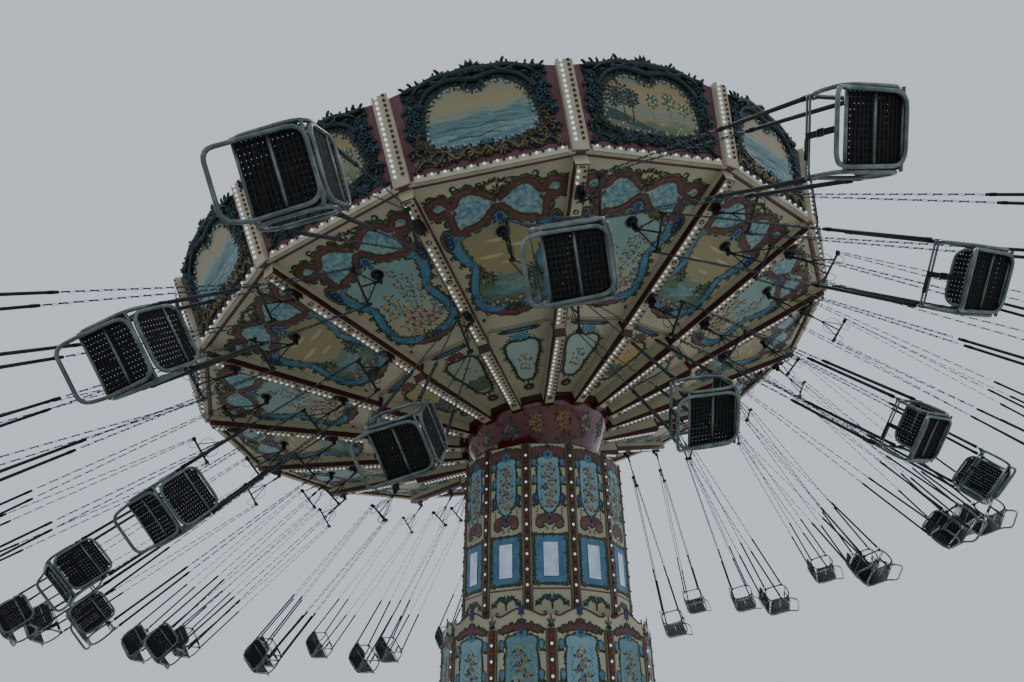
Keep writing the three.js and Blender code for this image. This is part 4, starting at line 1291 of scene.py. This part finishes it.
def housing_facet(kind):
    """One side of the housing: a crown scroll, roses, a shell and more roses on a sheet with a waved top"""
    work = Work()
    half = HOUSING_R * sin(SIDE / 2)
    # High in the middle of the side, dipping to a curl by each corner
    wave = [(0.4, 3.535), (0.36, 3.525), (0.3, 3.53), (0.19, 3.585), (0.08, 3.63), (0, 3.64)]
    top = smooth([(-x, y) for x, y in wave] + wave[-2::-1], 5)
    edge = half - 0.008
    sheet = [(edge, 0.31), (edge, 3.52)] + top[::-1] + [(-edge, 3.52), (-edge, 0.31)]
    work.plaque(sheet, 0.0, "cream_enamel", -0.03)
    work.stroke(top, (0.026, 0.026), 0.009, "maroon_line")
    for s in (1, -1):
        roll = curl(s * 0.372, 3.556, 0.034, -pi / 2, s * 0.95, 12)
        work.stroke(roll, (0.026, 0.018), 0.009, "maroon_line")
        work.bead(s * 0.03, 3.565, 0.01, (0.034, 0.02, 0.008), "scroll_maroon", -s * 0.9)
    work.plaque(oval(0, 3.62, 0.05, 0.055, 8), 0.014, "navy_medallion")
    fan(work, spread(3, pi / 2, pi / 4), 0, 3.65, 0.012, 0.04, 0.03, (0.034, 0.014, 0.01), ["carved_blue"])
    work.bead(0, 3.54, 0.01, (0.018, 0.03, 0.008), "ribbon_blue")
    crown = both([(0, 3.475), (0.05, 3.46), (0.075, 3.415), (0.11, 3.4), (0.15, 3.43), (0.185, 3.405),
                  (0.2, 3.375), (0.25, 3.385), (0.29, 3.365), (0.315, 3.335), (0.35, 3.33), (0.335, 3.29),
                  (0.27, 3.285), (0.2, 3.3), (0.12, 3.325), (0, 3.32)], 3)
    shield(work, crown, 0.01, "scroll_maroon", 0.02)
    leaves(work, crown + crown[:1], 0.05, 0.03, ["scroll_maroon", "edge_olive"], 0.01, -1, 1.0, 0.5)
    fields = ["water_blue", "panel_blue_light"]
    rose_panel(work, 0.25, 1.95, 3.27, fields[kind], kind + 1, cap=False)
    maroon_shell(work, 1.8, 1.1)
    rose_panel(work, 0.24, 0.62, 1.42, fields[1 - kind], kind + 2, cap=False)
    for y in (1.6, 0.44):
        work.stroke([(-0.38, y), (0.38, y)], (0.018, 0.018), 0.008, "maroon_line")
    work.box(0, 0.35, 0.006, (2 * half - 0.02, 0.09, 0.018), "cream_moulding")
    return work.mesh("housing_facet")


for kind in (0, 1):
    places = tower_sides(HOUSING_TURN, HOUSING_R, kind)
    art = copies(f"housing_art_{kind + 1}", housing_facet(kind), places, "base")
    if kind == 0:
        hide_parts("lower_housing")
copies("housing_lamp_strips", lamp_strip(0.32, 3.335, 0.111, 0.136, "ruby_bulb"),
       tower_corners(HOUSING_TURN, HOUSING_R + 0.004), "base")
tip = Work()
for s in (1, -1):
    tip.bead(s * 0.038, 3.44, 0.0, (0.05, 0.02, 0.012), "leaf_gold", pi / 2 - s * 0.5)
    tip.bead(s * 0.03, 3.38, 0.0, (0.045, 0.02, 0.012), "edge_olive", pi / 2 + s * 0.5)
tip.bead(0, 3.5, 0.0, (0.018, 0.04, 0.014), "leaf_gold")
tip.bead(0, 3.43, 0.008, (0.024, 0.05, 0.012), "ribbon_blue")
tip.bead(0, 3.36, 0.004, (0.02, 0.024, 0.012), "edge_olive")
copies("housing_finials", tip.mesh("finial"), tower_corners(HOUSING_TURN, HOUSING_R + 0.006), "base")

# Roof: a canvas hem over every rib, from the hub to the rim, with a maroon line under it
roof = Work()
hub, rim = Vector((0.52, 0, 1.995)), Vector((RIM_R, 0, 0.535))
for k in range(BAYS):
    place = about_z(SPIN + k * SECTOR) @ halfway(hub, rim)
    roof.block(place, ((rim - hub).length, 0.075, 0.022), "roof_canvas")
    roof.block(place @ spot(0, 0, -0.014), ((rim - hub).length, 0.02, 0.012), "maroon_line")
copies("roof_hems", roof.mesh("roof_hems"), [CANOPY], "canopy")


# Chairs: bent tube frames, woven seats, four chains each from a spreader bar under the swivel
def chair_place(kind, i):
    """At a chair's pivot, with x outwards, y along the hinge and z up the chains, as it hangs in flight"""
    c = RINGS[kind]
    a = SPIN + (i + c["step"]) * SECTOR
    flat = FLAT if c["step"] else 1
    pivot = CANOPY @ Vector((c["r"] * cos(a), c["r"] * sin(a), ceiling(c["r"] / flat) - c["drop"]))
    out = Vector((pivot.x, pivot.y, 0)).normalized()
    on = Vector((-out.y, out.x, 0))
    fly, lag = radians(c["out"]), radians(c["lag"])
    d = out * sin(fly) * cos(lag) + on * sin(fly) * sin(lag) - Vector((0, 0, cos(fly)))
    swing = acos(-d.dot(UP))
    xh = (d - UP * d.dot(UP)).normalized()
    return axes(pivot, xh * cos(swing) + UP * sin(swing), UP.cross(xh), -d)


def rounded(corners, r, steps=5):
    """A closed path through these corners, each rounded"""
    out = []
    n = len(corners)
    for k in range(n):
        a, b, c = (Vector(corners[(k + j) % n]) for j in (-1, 0, 1))
        q = min(r, (a - b).length / 2, (c - b).length / 2)
        p0 = b + (a - b).normalized() * q
        p1 = b + (c - b).normalized() * q
        for s in range(steps + 1):
            t = s / steps
            out.append((p0 * (1 - t) ** 2 + b * 2 * t * (1 - t) + p1 * t * t)[:])
    return out


def chair_seat(work):
    """Frame, woven seat and back, straps and rings, round the point where the chains' middle line ends"""
    seat, arm, back = -0.18, 0.17, 0.32
    low, lap = seat - 0.02, arm - 0.02
    frames = [([(x, -0.265, seat), (x, 0.252, seat), (x, 0.252, arm), (x, -0.265, arm)], 0.15, 4)
              for x in (0.275, -0.275)]
    # Foot rest and seat frame in one bent tube, the back's own round-cornered frame, then the cross tubes
    frames.append(([(-0.24, 0.236, low), (0.24, 0.236, low), (0.25, -0.255, low), (0.225, -0.385, low - 0.09),
                    (-0.225, -0.385, low - 0.09), (-0.25, -0.255, low)], 0.11, 4))
    frames.append(([(-0.245, 0.262, seat + 0.01), (0.245, 0.262, seat + 0.01), (0.245, 0.268, back),
                    (-0.245, 0.268, back)], 0.12, 5))
    for path, r, steps in frames:
        work.tube(rounded(path, r, steps), 0.0165, "powder_coat_with_painted_highlight", True)
    for x, y, z, r in ((0.275, -0.225, seat, 0.013), (0.275, 0.0, seat, 0.013), (0.275, 0.225, seat, 0.013),
                       (0.262, 0.264, arm, 0.012)):
        work.tube([(-x, y, z), (x, y, z)], r, "powder_coat_with_painted_highlight")
    # Lap bar across the front with its black latch sleeve, and the strap with its ring
    work.tube(rounded([(-0.275, -0.262, lap), (0.275, -0.262, lap), (0.275, -0.262, lap - 0.03),
                       (-0.275, -0.262, lap - 0.03)], 0.014, 2), 0.009, "powder_coat_with_painted_highlight", True, 1)
    work.tube([(-0.16, -0.262, lap - 0.01), (-0.02, -0.264, lap - 0.012)], 0.02, "black_sleeve")
    work.box(0, -0.268, 0.0, (0.045, 0.006, 0.3), "woven_webbing")
    work.tube(rounded([(-0.025, -0.275, 0.03), (0.025, -0.275, 0.03), (0.025, -0.275, -0.04),
                       (-0.025, -0.275, -0.04)], 0.014, 3), 0.005, "zinc_chain", True, 1)
    # Webbing woven through the seat and the back, open enough that the sky shows through
    weave, strap, thick = 0.0164, 0.0148, 0.003
    for k in range(27):
        over = 0.004 * (k % 2)
        work.box(0, weave * k - 0.212, seat + 0.006 + over, (0.49, strap, thick), "woven_webbing")
        z = seat + 0.045 + weave * k
        if z < back - 0.02:
            short = 0.08 if z > back - 0.06 else 0.0
            work.box(0, 0.256 + over, z, (0.46 - short, thick, strap), "woven_webbing")
    for k in range(12):
        x = (k - 5.5) * 0.04
        work.box(x, 0.0, seat + 0.01, (0.031, 0.45, thick), "woven_webbing")
        high = back - (0.075 if abs(x) > 0.19 else 0.02)
        work.box(x, 0.26, (seat + 0.03 + high) / 2, (0.031, thick, high - seat - 0.03), "woven_webbing")
    # Webbing wrapped round the side tubes, and the chains' rings on the arm rails
    for s in (1, -1):
        work.box(s * 0.25, 0, seat + 0.004, (0.018, 0.4, 0.02), "woven_webbing")
        for y in (-0.2, 0.2):
            work.tube([(s * 0.283, y + b, arm + 0.02 + c) for b, c in oval(0, 0, 0.03, 0.032, 8)], 0.007,
                      "zinc_chain", True, 1)
            work.box(s * 0.275, y, arm, (0.04, 0.045, 0.04), "black_iron")


def chain(work, a, b, sleeve):
    """Links from a down to b, with the last stretch in a black sleeve"""
    pitch, wire = 0.084, 0.0062
    along = (b - a).normalized()
    side = along.orthogonal().normalized()
    other = along.cross(side)
    for k in range(int(((b - a).length - sleeve) / pitch)):
        u, w = (side, other) if k % 2 else (other, side)
        rings = []
        for p, q in ((-0.047, 0.006), (0.047, 0.013), (0.047, -0.006), (-0.047, -0.013)):
            corner = along * p + u * q
            centre = a + along * (k + 0.5) * pitch + corner
            out = corner.normalized()
            rings.append([work.bm.verts.new(centre + (out * cos(t) + w * sin(t)) * wire)
                          for t in (0.5, 2.6, 4.7)])
        for j in range(4):
            r0, r1 = rings[j], rings[(j + 1) % 4]
            for t in range(3):
                work.bm.faces.new((r0[t], r0[(t + 1) % 3], r1[(t + 1) % 3], r1[t]))
        work.coat([v for r in rings for v in r], "zinc_chain", True)
    top = b - along * sleeve
    work.tube([top[:], (b - along * 0.06)[:]], 0.0185, "black_sleeve", False, 1)
    for f in (0, 0.9 * sleeve):
        work.tube([(top + along * (f + 0.04))[:], (top + along * (f + 0.1))[:]], 0.021, "woven_webbing",
                  False, 1)


def chair_hanger(work, length, forked):
    """Swivel, rods, spreader bar, cable loops and chains, from the swivel down"""
    drop = -SPREADER_DROP
    for a, b, r, roundness in (
            ((-0.022, 0, 0), (0.022, 0, 0), 0.03, 3), ((0, 0, -0.02), (0, 0, -0.16), 0.022, 3),
            ((0, 0, -0.15), (0, 0, drop), 0.013, 2), ((-0.29, 0, drop), (0.29, 0, drop), 0.019, 2)):
        work.tube([a, b], r, "black_iron", False, roundness)
    work.tube([(0, -0.03, 0), (0, 0.019, 0)], 0.014, "zinc_chain")
    high, reach, r = (-0.08, 0.235, 0.01) if forked else (-0.3, 0.15, 0.009)
    for s in (1, -1):
        work.tube([(0, 0, high), (s * reach, 0, drop + 0.01)], r, "black_iron", False, 1)
        work.box(s * 0.272, 0, drop, (0.045, 0.09, 0.06), "black_iron")
        for y, loop in ((0.02, [(0.25, -0.02), (0.2, -0.13), (0.12, -0.12), (0.09, -0.02)]),
                        (-0.016, [(0.06, 0.3), (0.17, 0.24), (0.19, 0.12), (0.12, 0.02)])):
            path = smooth([(s * x, drop + z) for x, z in loop], 3)
            work.tube([(x, y, z) for x, z in path], 0.005, "black_iron", False, 1)
        for y in (-1, 1):
            chain(work, Vector((s * 0.283, y * 0.028, drop - 0.02)),
                  Vector((s * 0.283, y * 0.2, 0.21 - length)), 1.25)


for kind, c in RINGS.items():
    whole = Work()
    chair_seat(whole)
    bmesh.ops.translate(whole.bm, verts=whole.bm.verts, vec=(0, 0, -c["length"]))
    chair_hanger(whole, c["length"], kind == "middle")
    chair = whole.mesh("chair")
    for i in range(BAYS):
        node = f"{kind}_chair_{i + 1:02d}"
        piece = copies(f"{node}_look", chair, [chair_place(kind, i)], node)
        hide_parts(node)

# Iron covers on the lugs that carry the middle chairs
covers = Work()
for i in range(BAYS):
    hang = chair_place("middle", i)
    hinge = hang.to_3x3().col[1]
    place = axes(hang.translation, hinge.cross(UP), hinge, UP)
    covers.block(place @ spot(0, 0.0351, 0.04), (0.08, 0.0298, 0.156), "black_iron")
copies("middle_lug_covers", covers.mesh("lug_covers"), [Matrix.Identity(4)], "canopy")

# Finishes of the CAD pieces that stay in sight
SHOWN = {
    "base_plinth": "plinth_paint", "lower_housing": "cream_enamel", "fixed_mast": "plinth_paint",
    "lift_mast": "mast_steel", "centre_column": "cream_enamel", "tilt_head": "black_iron",
    "canopy_frame": "maroon_enamel", "inner_ceiling": "cream_enamel", "outer_ceiling": "cream_enamel",
    "rounding_boards": "dusty_maroon_board", "roof_cone": "roof_canvas",
}
for node, name in SHOWN.items():
    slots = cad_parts[node].data.materials
    for k in range(len(slots)):
        slots[k] = FINISHES[name]

# Floor, sky and light
ground = bpy.data.meshes.new("floor")
grid = bmesh.new()
bmesh.ops.create_grid(grid, x_segments=2, y_segments=2, size=60)
grid.to_mesh(ground)
grid.free()
floor = add("floor", ground)
finish("pale_floor", "c9c8c4", "c2c1bd", 3000, rough=0.8)
ground.materials.append(FINISHES["pale_floor"])

world = bpy.data.worlds.new("sky")
bpy.context.scene.world = world
world.use_nodes = True
sky = world.node_tree.nodes["Background"].inputs
sky["Color"].default_value = linear("d0d9e6")
sky["Strength"].default_value = 1.0

lamp = bpy.data.lights.new("sky_light", "AREA")
lamp.size = 18
lamp.energy = 5000
light = add("sky_light", lamp)
light.location = (6, 10, 24)
light.rotation_euler = (Vector((0, 0, 8)) - light.location).to_track_quat("-Z", "Y").to_euler()

# The camera as fitted to the photograph, at eye height on the ground
lens = bpy.data.cameras.new("camera")
lens.lens = 24.455
lens.sensor_width = 36
camera = add("camera", lens)
camera.location = (-0.598, -12.93, 1.6)
camera.rotation_euler = (radians(90 + 31.27), radians(0.18), 0)
bpy.context.scene.camera = camera
